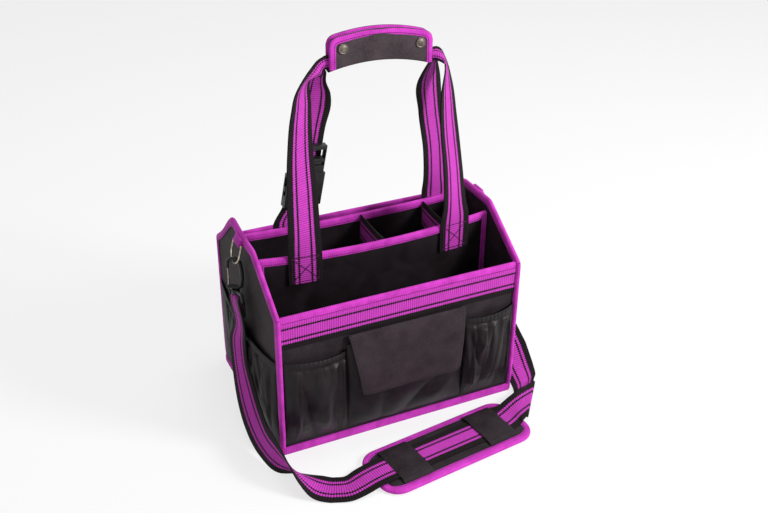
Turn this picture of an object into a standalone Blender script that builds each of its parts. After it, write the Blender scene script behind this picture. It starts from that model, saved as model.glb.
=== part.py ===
# Grooming tote: an open fabric carrier with three compartments, a padded carry handle
# and a webbing shoulder strap that lies on the ground in front of it.
# Metres, +Z up. X runs along the tote, the front faces -Y, the origin is under its middle.
import math

import bmesh
import bpy
from mathutils import Matrix, Vector

# Body of the tote
tote_width = 0.387
tote_depth = 0.272
wall_height = 0.235
shoulder_height = 0.298
divider_offset = 0.041
divider_height = 0.279
front_divider_in = 0.0025
divider_bow = 0.013
back_divider_bow = 0.002
divider_sag = 0.004
panel_thickness = 0.004
board_thickness = 0.0025
corner_fin = 0.006
fin_foot = 0.020

# Cloth and webbing
clearance = 0.0003
binding_width = 0.011
binding_thickness = 0.0012
webbing_width = 0.050
webbing_thickness = 0.0018
pocket_cloth = 0.0015
band_drop = 0.052

# Front pockets: edges across the front wall, and how full each stands
pocket_base = 0.018
left_pocket_edge = -0.088
right_pocket_edge = 0.101
side_pocket_fullness = 0.013
left_pocket_height = 0.163
right_pocket_height = 0.162
pocket_mouth_sag = 0.004
centre_pocket_height = 0.166
flap_height = 0.097
flap_thickness = 0.0020
flap_stand = 0.020
flap_top_width = 0.188
flap_bottom_width = 0.158

# End pockets
end_pocket_height = 0.160
end_pocket_sag = 0.018
end_pocket_fullness = 0.006

# Cross straps in the middle compartment
left_cross_x = 0.008
right_cross_x = 0.115

# Carry handle
handle_rise = 0.268
leg_spacing = 0.230
sewn_length = 0.047
leg_flex = 0.052
wrap_length = 0.157
wrap_shift = 0.022
wrap_height = 0.047
wrap_arch = 0.0115
wrap_tilt = 0.009
wrap_cloth = 0.005
wrap_cavity = 0.006
wrap_fold = 0.0040
wrap_layer = 0.0014
folded_width = 0.019
snap_radius = 0.0072
snap_thickness = 0.0022
snap_inset = 0.020
snap_rise = 0.0050

# Side release buckle on the back left leg
buckle_width = 0.060
socket_length = 0.054
plug_length = 0.044
buckle_travel = 0.026
buckle_thickness = 0.012
buckle_wall = 0.0022
buckle_side = 0.0035
prong_length = 0.032
prong_width = 0.0048
prong_head = 0.0055

# Rings, snap hooks and their swivels
ring_y = 0.005
ring_below_shoulder = 0.010
ring_wire = 0.0016
ring_width = 0.036
ring_drop = 0.031
ring_tilt_degrees = 15.0
tab_width = 0.024
tab_rise = 0.009
hook_turn_degrees = 52.0
hook_wire = 0.0030
hook_reach = 0.010
hook_height = 0.047
gate_wire = 0.0022
gate_gap = 0.0010
eye_wire = 0.0024
eye_drop = 0.0105
eye_corner = 0.0030
eye_lean_degrees = 16.0
collar_radius = 0.0060
collar_height = 0.0065

# Shoulder pad
pad_length = 0.264
pad_width = 0.098
pad_corner = 0.030
pad_rise = 0.0084
pad_rim = 0.0040
pad_ahead = 0.083
pad_shift = 0.035
pad_turn_degrees = 7.4
keeper_width = 0.050
keeper_spacing = 0.152
keeper_thickness = 0.0015
keeper_play = 0.006
fold_slant_degrees = 23.3
fold_crease_degrees = 51.5
fold_reach = 0.074

# Sizes that follow
half_width = tote_width / 2
ring_height = shoulder_height - ring_below_shoulder
half_depth = tote_depth / 2
rim = binding_thickness + clearance
end_outer = half_width - rim
wrap_sink = (wrap_height - folded_width) / 2 - wrap_fold - 2 * clearance
end_inner = end_outer - panel_thickness
inside_end = end_inner - rim - clearance
front_divider = divider_offset - front_divider_in
wall_outer = half_depth - corner_fin
wall_inner = wall_outer - panel_thickness
board_top = panel_thickness + clearance + board_thickness
floor_top = board_top + clearance
divider_skin = panel_thickness / 2 + rim
band_bottom = wall_height - band_drop
face_gap = wall_outer + clearance
handle_base = divider_height
wrap_level = divider_height + handle_rise

finishes = {
    "black_cloth": ((0.012, 0.010, 0.012), 0.85, 0.0),
    "lining": ((0.018, 0.016, 0.018), 0.80, 0.0),
    "magenta_tape": ((0.560, 0.045, 0.480), 0.75, 0.0),
    "webbing": ((0.330, 0.030, 0.300), 0.80, 0.0),
    "black_plastic": ((0.010, 0.010, 0.011), 0.45, 0.0),
    "nickel": ((0.560, 0.530, 0.490), 0.28, 1.0),
    "black_metal": ((0.020, 0.020, 0.022), 0.35, 0.8),
    "board": ((0.060, 0.055, 0.050), 0.70, 0.0),
}


def clear_scene():
    for item in list(bpy.data.objects):
        bpy.data.objects.remove(item, do_unlink=True)


def finish_material(name):
    material = bpy.data.materials.get(name)
    if material is None:
        colour, roughness, metallic = finishes[name]
        material = bpy.data.materials.new(name)
        material.use_nodes = True
        shader = material.node_tree.nodes["Principled BSDF"]
        shader.inputs["Base Color"].default_value = (*colour, 1.0)
        shader.inputs["Roughness"].default_value = roughness
        shader.inputs["Metallic"].default_value = metallic
    return material


def add_object(name, bm, finish, smooth=False):
    bmesh.ops.recalc_face_normals(bm, faces=bm.faces)
    mesh = bpy.data.meshes.new(name)
    bm.to_mesh(mesh)
    bm.free()
    mesh.materials.append(finish_material(finish))
    if smooth:
        mesh.shade_smooth()
        mesh.set_sharp_from_angle(angle=math.radians(40))
    piece = bpy.data.objects.new(name, mesh)
    bpy.context.collection.objects.link(piece)
    return piece


def solid(name, points, faces, finish, smooth=False):
    bm = bmesh.new()
    corners = [bm.verts.new(point) for point in points]
    for face in faces:
        bm.faces.new([corners[index] for index in face])
    return add_object(name, bm, finish, smooth)


def block(name, low, high, finish):
    bm = bmesh.new()
    bmesh.ops.create_cube(bm, size=1.0)
    middle = (Vector(low) + Vector(high)) / 2
    size = Vector(high) - Vector(low)
    for corner in bm.verts:
        corner.co = middle + Vector(corner.co[axis] * size[axis] for axis in range(3))
    return add_object(name, bm, finish)


def prism(name, outline, axis, low, high, finish, smooth=False):
    # An outline in the two other axes, drawn out along the given one.
    def place(point, level):
        spot = [0.0, 0.0, 0.0]
        others = [index for index in range(3) if index != axis]
        spot[others[0]], spot[others[1]] = point
        spot[axis] = level
        return spot

    count = len(outline)
    points = [place(point, low) for point in outline] + [place(point, high) for point in outline]
    faces = [tuple(range(count)), tuple(range(count, 2 * count))]
    faces += [(i, (i + 1) % count, count + (i + 1) % count, count + i) for i in range(count)]
    return solid(name, points, faces, finish, smooth)


def skin(name, rings, finish, closed=False, smooth=False, split=False):
    # Equal rings of points joined in turn, with flat ends unless the run closes on itself.
    # A flat strap is split along one diagonal on both its faces, so that a twist keeps it even.
    size = len(rings[0])
    points = [point for ring in rings for point in ring]
    faces = []
    spans = len(rings) if closed else len(rings) - 1
    for i in range(spans):
        first, second = i * size, ((i + 1) % len(rings)) * size
        for k in range(size):
            nxt = (k + 1) % size
            a, b, c, d = first + k, first + nxt, second + nxt, second + k
            if split and k == 0:
                faces += [(a, b, c), (a, c, d)]
            elif split and k == 2:
                faces += [(a, b, d), (b, c, d)]
            else:
                faces.append((a, b, c, d))
    if not closed:
        faces.append(tuple(range(size)))
        faces.append(tuple(range(len(points) - size, len(points))))
    return solid(name, points, faces, finish, smooth)


def channel(name, path, inward, low, high, finish, closed=False, bend=None):
    # Binding folded over a panel edge. The path is the edge's outer line in a plane, inward
    # gives the two directions across it, and low to high is the folded thickness.
    count = len(path)
    rings = []
    for i, point in enumerate(path):
        here = Vector(point)
        before = Vector(path[i - 1]) if i or closed else None
        after = Vector(path[(i + 1) % count]) if i < count - 1 or closed else None
        sides = []
        for a, b in ((before, here), (here, after)):
            if a is not None and b is not None:
                run = (b - a).normalized()
                sides.append(Vector((-run.y, run.x)) * inward)
        across = sum(sides, Vector((0.0, 0.0))).normalized()
        stretch = 1.0 / max(across.dot(sides[0]), 0.4)
        skin_step = across * stretch * binding_thickness
        leg = across * stretch * binding_width
        outer, inner, lip = here, here + skin_step, here + leg
        t = binding_thickness
        section = [(outer, low), (lip, low), (lip, low + t), (inner, low + t),
                   (inner, high - t), (lip, high - t), (lip, high), (outer, high)]
        rings.append(section)
    return rings


def lay_channel(name, rings, axis, finish, closed=False, bend=None):
    # Puts a channel's plane sections into space, across the given axis.
    placed = []
    others = [index for index in range(3) if index != axis]
    for section in rings:
        ring = []
        for point, level in section:
            spot = Vector((0.0, 0.0, 0.0))
            spot[others[0]], spot[others[1]] = point
            spot[axis] = level
            ring.append(bend(spot) if bend else spot)
        placed.append(ring)
    return skin(name, placed, finish, closed)


def spline(points, spans, steps):
    # A smooth curve through the points, steps samples to a span. Spans are the distances from
    # each point to the next, so that a short step beside a long one doesn't swing the curve.
    count = len(points)
    slopes = []
    for i in range(count):
        if i == 0:
            slope = (points[1] - points[0]) / spans[0]
        elif i == count - 1:
            slope = (points[i] - points[i - 1]) / spans[i - 1]
        else:
            before, after = spans[i - 1], spans[i]
            slope = ((points[i] - points[i - 1]) * after / before
                     + (points[i + 1] - points[i]) * before / after) / (before + after)
        slopes.append(slope)
    result = []
    for i in range(count - 1):
        a, b = points[i], points[i + 1]
        p, q = slopes[i] * spans[i], slopes[i + 1] * spans[i]
        for k in range(steps):
            t = k / steps
            result.append(a * (2 * t ** 3 - 3 * t ** 2 + 1) + p * (t ** 3 - 2 * t ** 2 + t)
                          + b * (3 * t ** 2 - 2 * t ** 3) + q * (t ** 3 - t ** 2))
    result.append(points[-1].copy())
    return result


def trace(stations, steps):
    # Stations are the middle of a strap and the vector from there to one of its edges.
    middles = [Vector(middle) for middle, edge in stations]
    edges = [Vector(edge) for middle, edge in stations]
    spans = [(b - a).length for a, b in zip(middles, middles[1:])]
    return list(zip(spline(middles, spans, steps), spline(edges, spans, steps)))


def trim(run, at_start):
    # Draws one end of a strap back by the clearance, so that it meets its neighbour.
    run = list(run)
    index, other = (0, 1) if at_start else (-1, -2)
    middle, edge = run[index]
    toward = (run[other][0] - middle).normalized()
    run[index] = (middle + toward * clearance, edge)
    return run


def strap(name, run, finish="webbing", thickness=webbing_thickness):
    rings = []
    for i, (middle, edge) in enumerate(run):
        ahead = run[min(i + 1, len(run) - 1)][0] - run[max(i - 1, 0)][0]
        out = ahead.cross(edge).normalized() * (thickness / 2)
        rings.append([middle - edge - out, middle + edge - out, middle + edge + out,
                      middle - edge + out])
    return skin(name, rings, finish, smooth=True, split=True)


def tube(name, path, radius, finish, closed=False, sides=8):
    # A round bar along a path, its section carried on without twisting.
    count = len(path)
    rings = []
    guide = None
    for i, point in enumerate(path):
        if closed:
            run = path[(i + 1) % count] - path[i - 1]
        else:
            run = path[min(i + 1, count - 1)] - path[max(i - 1, 0)]
        run = run.normalized()
        if guide is None:
            guide = run.orthogonal().normalized()
        guide = (guide - run * guide.dot(run)).normalized()
        second = run.cross(guide)
        turns = [2 * math.pi * k / sides for k in range(sides)]
        rings.append([point + guide * (radius * math.cos(a)) + second * (radius * math.sin(a))
                      for a in turns])
    return skin(name, rings, finish, closed, smooth=True)


def drum(name, centre, axis, radius, length, finish, sides=20, dome=0.0):
    # A short cylinder that starts at its centre point and may end in a low dome.
    axis = Vector(axis).normalized()
    u = axis.orthogonal().normalized()
    v = axis.cross(u)
    levels = [(radius, 0.0), (radius, length)]
    if dome:
        levels = [(radius, 0.0), (radius, length * 0.45), (radius * 0.82, length * 0.80),
                  (radius * 0.45, length)]
    rings = []
    for reach, height in levels:
        turns = [2 * math.pi * k / sides for k in range(sides)]
        rings.append([Vector(centre) + axis * height + (u * math.cos(a) + v * math.sin(a)) * reach
                      for a in turns])
    return skin(name, rings, finish, smooth=True)


def combine(piece, tool, operation):
    change = piece.modifiers.new(operation.lower(), "BOOLEAN")
    change.operation = operation
    change.solver = "EXACT"
    change.object = tool
    tool.hide_render = True
    tool.display_type = "WIRE"
    return piece


def pivot(name, place, turn=None):
    mark = bpy.data.objects.new(name, None)
    mark.empty_display_size = 0.02
    bpy.context.collection.objects.link(mark)
    mark.matrix_world = Matrix.Translation(Vector(place)) @ (turn or Matrix.Identity(4))
    bpy.context.view_layer.update()
    return mark


def carry(mark, *pieces):
    # Moving pieces get their origin at the pivot, and stay where they are.
    back = mark.matrix_world.inverted()
    for piece in pieces:
        tools = [change.object for change in piece.modifiers if change.type == "BOOLEAN"]
        for item in [piece] + tools:
            if item.data.users == 1 and item.parent is None:
                item.data.transform(back @ item.matrix_world)
                item.matrix_world = Matrix.Identity(4)
                item.parent = mark


def bow(spot, reach=divider_bow):
    # The dividers lean towards the front, and dip, at the middle of their length.
    share = 1.0 - (spot.x / inside_end) ** 2
    drop = divider_sag * share * spot.z / divider_height
    return Vector((spot.x, spot.y - reach * share, spot.z - drop))


def bow_slope(x, reach):
    # How far a divider is turned at a place along it, in degrees.
    return math.degrees(math.atan(2 * reach * x / inside_end ** 2))


def build_base():
    block("base_panel", (-end_outer, -wall_outer, 0.0), (end_outer, wall_outer, panel_thickness),
          "black_cloth")
    board_x = inside_end - clearance
    board_y = wall_inner - clearance
    block("base_board", (-board_x, -board_y, panel_thickness + clearance),
          (board_x, board_y, board_top), "board")
    outer_x, outer_y = half_width, wall_outer + clearance + 2 * binding_thickness
    inner_x, inner_y = end_outer + clearance, wall_outer + clearance
    low, high = clearance, binding_width + clearance
    rings = []
    for sx, sy in ((-1, -1), (1, -1), (1, 1), (-1, 1)):
        rings.append([(sx * inner_x, sy * inner_y, low), (sx * outer_x, sy * outer_y, low),
                      (sx * outer_x, sy * outer_y, high), (sx * inner_x, sy * inner_y, high)])
    skin("base_binding", rings, "magenta_tape", closed=True)


def build_walls():
    foot = panel_thickness + clearance
    for name, side in (("front", -1), ("back", 1)):
        near, far = sorted((side * wall_inner, side * wall_outer))
        block(name + "_wall", (-inside_end, near, foot), (inside_end, far, wall_height - rim),
              "black_cloth")
        path = [(side * (wall_outer + rim), wall_height), (side * (wall_inner - rim), wall_height)]
        low, high = sorted(point[0] for point in path)
        rings = []
        for x in (-inside_end, inside_end):
            lip, t = wall_height - binding_width, binding_thickness
            rings.append([(x, low, lip), (x, low, wall_height), (x, high, wall_height),
                          (x, high, lip), (x, high - t, lip), (x, high - t, wall_height - t),
                          (x, low + t, wall_height - t), (x, low + t, lip)])
        skin(name + "_top_binding", rings, "magenta_tape")
        near, far = sorted((side * face_gap, side * (face_gap + webbing_thickness)))
        block(name + "_band", (-inside_end, near, band_bottom),
              (inside_end, far, wall_height - binding_width - clearance), "webbing")


def end_outline(inset, foot, front):
    # The end panel's shape from the front foot over both shoulders to the back foot.
    slope = math.atan2(shoulder_height - wall_height, half_depth - divider_offset)
    lower = inset * math.tan((math.pi / 2 - slope) / 2)
    upper = inset * math.tan(slope / 2)
    edge, corner = front - inset, wall_height - lower
    shoulder, top = divider_offset - upper, shoulder_height - inset
    half = [(-edge, foot), (-edge, corner), (-shoulder, top)]
    return half + [(-y, z) for y, z in reversed(half)]


def build_ends():
    foot = panel_thickness + clearance
    fin_base = binding_width + 2 * clearance
    body = end_outline(rim, fin_foot, half_depth)
    outline = [(-wall_outer, foot), (-wall_outer, fin_base)] + body
    outline += [(wall_outer, fin_base), (wall_outer, foot)]
    for name, side in (("left", -1), ("right", 1)):
        low, high = sorted((side * end_inner, side * end_outer))
        prism(name + "_end_panel", outline, 0, low, high, "black_cloth")
        path = end_outline(0.0, fin_foot, half_depth)
        low, high = sorted((side * (end_inner - rim), side * half_width))
        rings = channel(name, path, -1.0, low, high, "magenta_tape")
        lay_channel(name + "_end_binding", rings, 0, "magenta_tape")


def build_dividers():
    steps = 14
    for name, middle, reach_out in (("front", -front_divider, divider_bow),
                                    ("back", divider_offset, back_divider_bow)):
        def bend(spot, reach_out=reach_out):
            return bow(spot, reach_out)

        low, high = middle - panel_thickness / 2, middle + panel_thickness / 2
        rings = []
        reach = inside_end - clearance
        for k in range(steps + 1):
            x = -reach + 2 * reach * k / steps
            section = [(x, low, floor_top), (x, high, floor_top),
                       (x, high, divider_height - rim), (x, low, divider_height - rim)]
            rings.append([bend(Vector(point)) for point in section])
        skin(name + "_divider", rings, "lining")
        edge = reach + rim
        path = [(-edge, floor_top)]
        path += [(-edge + 2 * edge * k / steps, divider_height) for k in range(steps + 1)]
        path += [(edge, floor_top)]
        sections = channel(name, path, -1.0, low - rim, high + rim, "magenta_tape")
        lay_channel(name + "_divider_binding", sections, 1, "magenta_tape", bend=bend)
    top = divider_height - divider_sag - clearance
    for name, x in (("left", left_cross_x), ("right", right_cross_x)):
        front = bow(Vector((x, -front_divider, divider_height))).y + divider_skin + clearance
        back = bow(Vector((x, divider_offset, divider_height)), back_divider_bow).y
        back -= divider_skin + clearance
        block(name + "_cross_strap", (x - webbing_thickness / 2, front, top - webbing_width),
              (x + webbing_thickness / 2, back, top), "webbing")


def cloth_panel(name, surface, columns, rows, thickness, finish="black_cloth"):
    # A sheet given by its outer surface, made solid towards the panel behind it.
    # surface(u, t) gives the outer point and the direction inwards.
    outer, inner = [], []
    for j in range(rows + 1):
        for i in range(columns + 1):
            point, inward = surface(i / columns, j / rows)
            outer.append(point)
            inner.append(point + inward * thickness)
    size = len(outer)
    width = columns + 1
    faces = []
    for j in range(rows):
        for i in range(columns):
            a = j * width + i
            quad = (a, a + 1, a + 1 + width, a + width)
            faces.append(quad)
            faces.append(tuple(size + index for index in quad))
    border = [i for i in range(width)]
    border += [j * width + columns for j in range(1, rows + 1)]
    border += [rows * width + i for i in range(columns - 1, -1, -1)]
    border += [j * width for j in range(rows - 1, 0, -1)]
    for k, a in enumerate(border):
        b = border[(k + 1) % len(border)]
        faces.append((a, b, size + b, size + a))
    return solid(name, outer + inner, faces, finish, smooth=True)


def hump(u):
    return max(math.sin(math.pi * u), 0.0) ** 0.7


def sagging(u, left, middle, right):
    # A mouth line that hangs from its two ends.
    return left + (right - left) * u - 4 * middle * u * (1 - u)


def flap_profile(share):
    return math.sin(math.pi / 2 * min(max(share, 0.0), 1.0)) ** 0.8


def build_side_pocket(name, left, right, height_left, height_right):
    base = face_gap + pocket_cloth

    def surface(u, t):
        x = left + (right - left) * u
        top = sagging(u, height_left, pocket_mouth_sag, height_right)
        z = pocket_base + (top - pocket_base) * t
        full = side_pocket_fullness * hump(u) * math.sin(math.pi * min(0.5, 0.12 + t * 0.42))
        full *= min(1.0, t * 4.0) * (1.0 - 0.25 * t)
        return Vector((x, -base - full, z)), Vector((0.0, 1.0, 0.0))

    cloth_panel(name, surface, 12, 8, pocket_cloth)


def build_front_pockets():
    gap = 2 * clearance
    edge = inside_end - clearance
    build_side_pocket("left_front_pocket", -edge, left_pocket_edge - gap,
                      left_pocket_height, left_pocket_height - 0.005)
    build_side_pocket("right_front_pocket", right_pocket_edge + gap, edge,
                      right_pocket_height - 0.002, right_pocket_height + 0.003)
    base = face_gap + pocket_cloth
    flap_top = band_bottom - clearance
    flap_foot = flap_top - flap_height

    def pocket_surface(u, t):
        x = left_pocket_edge + (right_pocket_edge - left_pocket_edge) * u
        z = pocket_base + (centre_pocket_height - pocket_base) * t
        share = (flap_top - z) / flap_height
        stand = flap_stand * flap_profile(share) - gap
        if z < flap_foot:
            low = (z - pocket_base) / (flap_foot - pocket_base)
            stand = (flap_stand - gap) * math.sin(math.pi / 2 * low) ** 0.6
        return Vector((x, -base - max(stand, 0.0) * hump(u), z)), Vector((0.0, 1.0, 0.0))

    cloth_panel("centre_front_pocket", pocket_surface, 14, 12, pocket_cloth)
    middle = (left_pocket_edge + right_pocket_edge) / 2

    def flap_surface(u, t):
        width = flap_top_width + (flap_bottom_width - flap_top_width) * t
        x = middle + (u - 0.5) * width
        y = -base - flap_thickness - clearance - flap_stand * flap_profile(t)
        return Vector((x, y, flap_top - flap_height * t)), Vector((0.0, 1.0, 0.0))

    flap = cloth_panel("pocket_flap", flap_surface, 6, 10, flap_thickness)
    hinge_y = -(base + flap_thickness / 2 + clearance)
    carry(pivot("pocket_flap_hinge", (middle, hinge_y, flap_top)), flap)


def build_end_pockets():
    base = end_outer + clearance + pocket_cloth
    edge = half_depth - binding_width - 2 * clearance
    foot = binding_width + 0.003

    for name, side in (("left", -1), ("right", 1)):
        def surface(u, t, side=side):
            y = -edge + 2 * edge * u
            top = sagging(u, end_pocket_height, end_pocket_sag, end_pocket_height)
            z = foot + (top - foot) * t
            full = end_pocket_fullness * hump(u) * min(1.0, t * 3.0)
            return Vector((side * (base + full), y, z)), Vector((-side, 0.0, 0.0))

        cloth_panel(name + "_end_pocket", surface, 12, 8, pocket_cloth)


def leg_stations(side, front):
    # Middle line of one handle leg, from its sewn foot up to where it meets the padded wrap.
    # Heights are shares of the handle's rise, and depths are shares of the divider's offset.
    half = webbing_width / 2
    x = side * leg_spacing / 2
    skin_y = divider_skin + 2 * clearance + webbing_thickness / 2
    shares = [0.0, 0.0, 0.025, 0.10, 0.30, 0.58, 0.77, 0.88]
    if front:
        drift = [0.009, 0.009, 0.009, 0.008, 0.006, 0.002, 0.002, 0.003]
        turn = [0, 0, 2, 20, 30, 35, 46, 62]
        if side < 0:
            drift = [-0.002, -0.002, -0.002, -0.002, -0.001, 0.003, 0.010, 0.018]
            turn = [0, 0, 2, 4, 12, 27, 37, 48]
        foot_y = -bow(Vector((x + drift[0], -front_divider - skin_y, handle_base))).y
        slope = bow_slope(x + drift[0], divider_bow)
        depths = [foot_y, foot_y, foot_y, foot_y - 0.0005, foot_y - 0.006, 0.032, 0.022, 0.013]
    else:
        turn = [0, 0, 0, 12, 19, 20, 24, 34]
        drift = [0.027, 0.027, 0.027, 0.0255, 0.0195, 0.003, -0.006, -0.004]
        foot_y = bow(Vector((x + drift[0], divider_offset + skin_y, handle_base)), back_divider_bow).y
        slope = bow_slope(x + drift[0], back_divider_bow)
        depths = [foot_y, foot_y, foot_y, foot_y - 0.001, foot_y - 0.006, 0.028, 0.018, 0.010]
    turn = [slope + angle for angle in turn[:3]] + turn[3:]
    stations = []
    for i, share in enumerate(shares):
        z = handle_base - sewn_length if i == 0 else handle_base + handle_rise * share
        y = -depths[i] if front else depths[i]
        angle = math.radians(turn[i])
        width = 0.46 if i == 7 and not front else 1.0
        edge = Vector((math.cos(angle), math.sin(angle), 0.0)) * half * width
        stations.append((Vector((x + drift[i], y, z)), edge))
    return stations


def wrap_line(x):
    # Height of the wrap's middle line, an arch that is a little lower on the right.
    share = (x - wrap_shift) / (wrap_length / 2)
    return wrap_level + wrap_arch * (1.0 - share * share) - wrap_tilt * 0.5 * (share + 1.0)


def wrap_entry(end, outward, y, steps):
    # Stations beside one end of the wrap, where a leg folds in half and turns level.
    # Each step gives the distance out, the drop, the depth, and the edge vector in halves.
    stations = []
    for out, drop, depth, edge in steps:
        spot = Vector((end + outward * out, y + depth, wrap_line(end) - wrap_sink - drop))
        stations.append((spot, Vector((outward * edge[0], edge[1], edge[2]))))
    return stations


def build_handle():
    lower = handle_base + leg_flex
    inner = wrap_length / 2
    left_x, right_x = wrap_shift - inner, wrap_shift + inner
    for name, front in (("front", True), ("back", False)):
        y = -wrap_layer if front else wrap_layer
        half = Vector((0.0, 0.0, -folded_width / 2))
        middle = []
        for share in (-1.01, -0.93, -0.4, 0.4, 0.93, 1.01):
            x = wrap_shift + share * inner
            middle.append((Vector((x, y, wrap_line(x) - wrap_sink)), half))
        right = [(spot, -edge) for spot, edge in leg_stations(1, front)]
        right.reverse()
        if front:
            folds = [(0.009, 0.001, -0.001, (-0.001, -0.0050, -0.0090)),
                     (0.017, 0.006, -0.006, (-0.003, -0.0120, -0.0070))]
            left_folds = [(0.005, 0.000, -0.0004, (-0.001, 0.0010, -0.0094)),
                          (0.011, 0.002, -0.002, (-0.005, 0.0035, -0.0095)),
                          (0.019, 0.008, -0.007, (-0.011, 0.0085, -0.0095))]
            left = leg_stations(-1, True)
            entry = wrap_entry(left_x, -1, y, left_folds)
            run_left = trace(left + list(reversed(entry)) + middle[:1], 4)
            cut = min(range(len(run_left)), key=lambda i: abs(run_left[i][0].z - lower))
            strap("front_left_leg", run_left[:cut + 1])
            start = trim(run_left[cut:], True)
        else:
            folds = [(0.004, 0.002, 0.0005, (-0.002, -0.0010, -0.0088)),
                     (0.008, 0.007, 0.0030, (-0.007, -0.0030, -0.0055))]
            start = buckle_strap(middle[0], left_x, y)
        run_right = trace(middle[-1:] + wrap_entry(right_x, 1, y, folds) + right, 4)
        centre = trace(middle, 3)
        half_way = len(run_right) // 2
        cut = min(range(half_way, len(run_right)), key=lambda i: abs(run_right[i][0].z - lower))
        strap(name + "_right_leg", run_right[cut:])
        strap(name + "_handle_strap", start + centre[1:-1] + trim(run_right[:cut + 1], False))


def buckle_frame():
    # Axes of the buckle: across it, up along the strap, and out of its front face.
    up = Vector((0.0126, -0.011, 0.095)).normalized()
    out = Vector((0.10, -0.99, 0.0)).normalized()
    out = (out - up * out.dot(up)).normalized()
    across = up.cross(out).normalized()
    base = Vector((-0.0855, divider_offset + 0.004, handle_base + 0.028))
    return base, across, up, out


def buckle_strap(first_middle, left_x, y):
    base, across, up, out = buckle_frame()
    half = across * (webbing_width / 2)
    back = -out * (buckle_thickness / 2 + clearance + webbing_thickness / 2)
    low = base + up * (socket_length + 0.016) + back
    high = base + up * (socket_length + plug_length + buckle_travel) + back
    entry = wrap_line(left_x) - wrap_sink
    rise = entry - high.z
    stations = [(low, half), (high, half)]
    for share, x, depth, width, turn in ((0.32, -0.011, 0.72, 1.00, -12), (0.56, -0.010, 0.48, 0.80, -20),
                                         (0.76, -0.011, 0.26, 0.50, -25), (0.89, -0.009, 0.09, 0.36, -24)):
        angle = math.radians(turn)
        edge = Vector((math.cos(angle), math.sin(angle), -0.6 * (1 - width))).normalized()
        stations.append((Vector((left_x + x, high.y * depth + y, high.z + rise * share)),
                         edge * (webbing_width / 2 * width)))
    stations.append((Vector((left_x - 0.0030, y + 0.0004, entry - 0.0006)),
                     Vector((0.0005, -0.0003, -0.0093))))
    return trace(stations + [first_middle], 4)


def build_back_left_leg():
    base, across, up, out = buckle_frame()
    half = webbing_width / 2
    x = -leg_spacing / 2 + 0.010
    skin_y = divider_skin + 2 * clearance + webbing_thickness / 2
    foot_y = bow(Vector((x, divider_offset + skin_y, handle_base)), back_divider_bow).y
    back = -out * (buckle_thickness / 2 + clearance + webbing_thickness / 2)
    slope = math.radians(bow_slope(x, back_divider_bow))
    upright = Vector((math.cos(slope), math.sin(slope), 0.0)) * half
    stations = [(Vector((x, foot_y, handle_base - sewn_length)), upright),
                (Vector((x, foot_y, handle_base - 0.006)), upright),
                (Vector((x, foot_y, handle_base)), upright),
                (base - up * 0.002 + back, across * half),
                (base + up * 0.005 + back, across * half)]
    strap("back_left_leg", trace(stations, 4))


def local_box(name, base, axes, low, high, finish):
    across, up, out = axes
    points = []
    for w in (low[2], high[2]):
        for v in (low[1], high[1]):
            for u in (low[0], high[0]):
                points.append(base + across * u + up * v + out * w)
    faces = [(0, 1, 3, 2), (4, 5, 7, 6), (0, 1, 5, 4), (2, 3, 7, 6), (0, 2, 6, 4), (1, 3, 7, 5)]
    return solid(name, points, faces, finish)


def build_buckle():
    base, across, up, out = buckle_frame()
    axes = (across, up, out)
    half, thick = buckle_width / 2, buckle_thickness / 2
    slot_low, slot_high = 0.006, 0.011
    slot_half = webbing_width / 2 + 0.001
    cavity_floor = 0.017
    socket = local_box("buckle_socket", base, axes, (-half, 0.0, -thick),
                       (half, socket_length, thick), "black_plastic")
    cavity_half, cavity_thick = half - buckle_side, thick - buckle_wall
    cavity = local_box("socket_cavity", base, axes, (-cavity_half, cavity_floor, -cavity_thick),
                       (cavity_half, socket_length + 0.01, cavity_thick), "black_plastic")
    window_thick = cavity_thick - clearance
    window = local_box("socket_window", base, axes,
                       (-half - 0.01, cavity_floor + 0.002, -window_thick),
                       (half + 0.01, socket_length - 0.005, window_thick), "black_plastic")
    slot = local_box("socket_slot", base, axes, (-slot_half, slot_low, -0.02),
                     (slot_half, slot_high, 0.02), "black_plastic")
    for tool in (cavity, window, slot):
        combine(socket, tool, "DIFFERENCE")
    start = socket_length + clearance
    body_half = half - 0.003
    plug = local_box("buckle_plug", base, axes, (-body_half, start, -thick + 0.001),
                     (body_half, start + plug_length, thick - 0.001), "black_plastic")
    guide = local_box("plug_guide", base, axes, (-0.005, socket_length - 0.030, -0.0022),
                      (0.005, start + 0.004, 0.0022), "black_plastic")
    combine(plug, guide, "UNION")
    for k, (low, high) in enumerate(((0.012, 0.017), (0.023, 0.038))):
        slit = local_box("plug_slot_%d" % k, base, axes, (-slot_half, start + low, -0.02),
                         (slot_half, start + high, 0.02), "black_plastic")
        combine(plug, slit, "DIFFERENCE")
    arm = cavity_half - 0.0012
    root = start - clearance
    reach = root - prong_length
    prong_thick = window_thick - 2 * clearance
    prongs = []
    for name, side in (("left", -1), ("right", 1)):
        inner, outer = arm - prong_width, arm
        head = arm + prong_head
        outline = [(inner, root), (inner, reach), (outer - 0.001, reach), (head, reach + 0.004),
                   (head, reach + 0.011), (outer, reach + 0.0135), (outer, root)]
        points = [base + across * (side * u) + up * v + out * (w * prong_thick)
                  for w in (-1, 1) for u, v in outline]
        count = len(outline)
        faces = [tuple(range(count)), tuple(range(count, 2 * count))]
        faces += [(i, (i + 1) % count, count + (i + 1) % count, count + i) for i in range(count)]
        prongs.append(solid(name + "_buckle_prong", points, faces, "black_plastic"))
    rotation = Matrix((across, up, out)).transposed().to_4x4()
    for prong, side in zip(prongs, (-1, 1)):
        spot = base + across * (side * (arm - prong_width)) + up * root
        carry(pivot(prong.name + "_pivot", spot, rotation), prong)
    carry(pivot("buckle_slide", base + up * start, rotation), plug)


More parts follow.
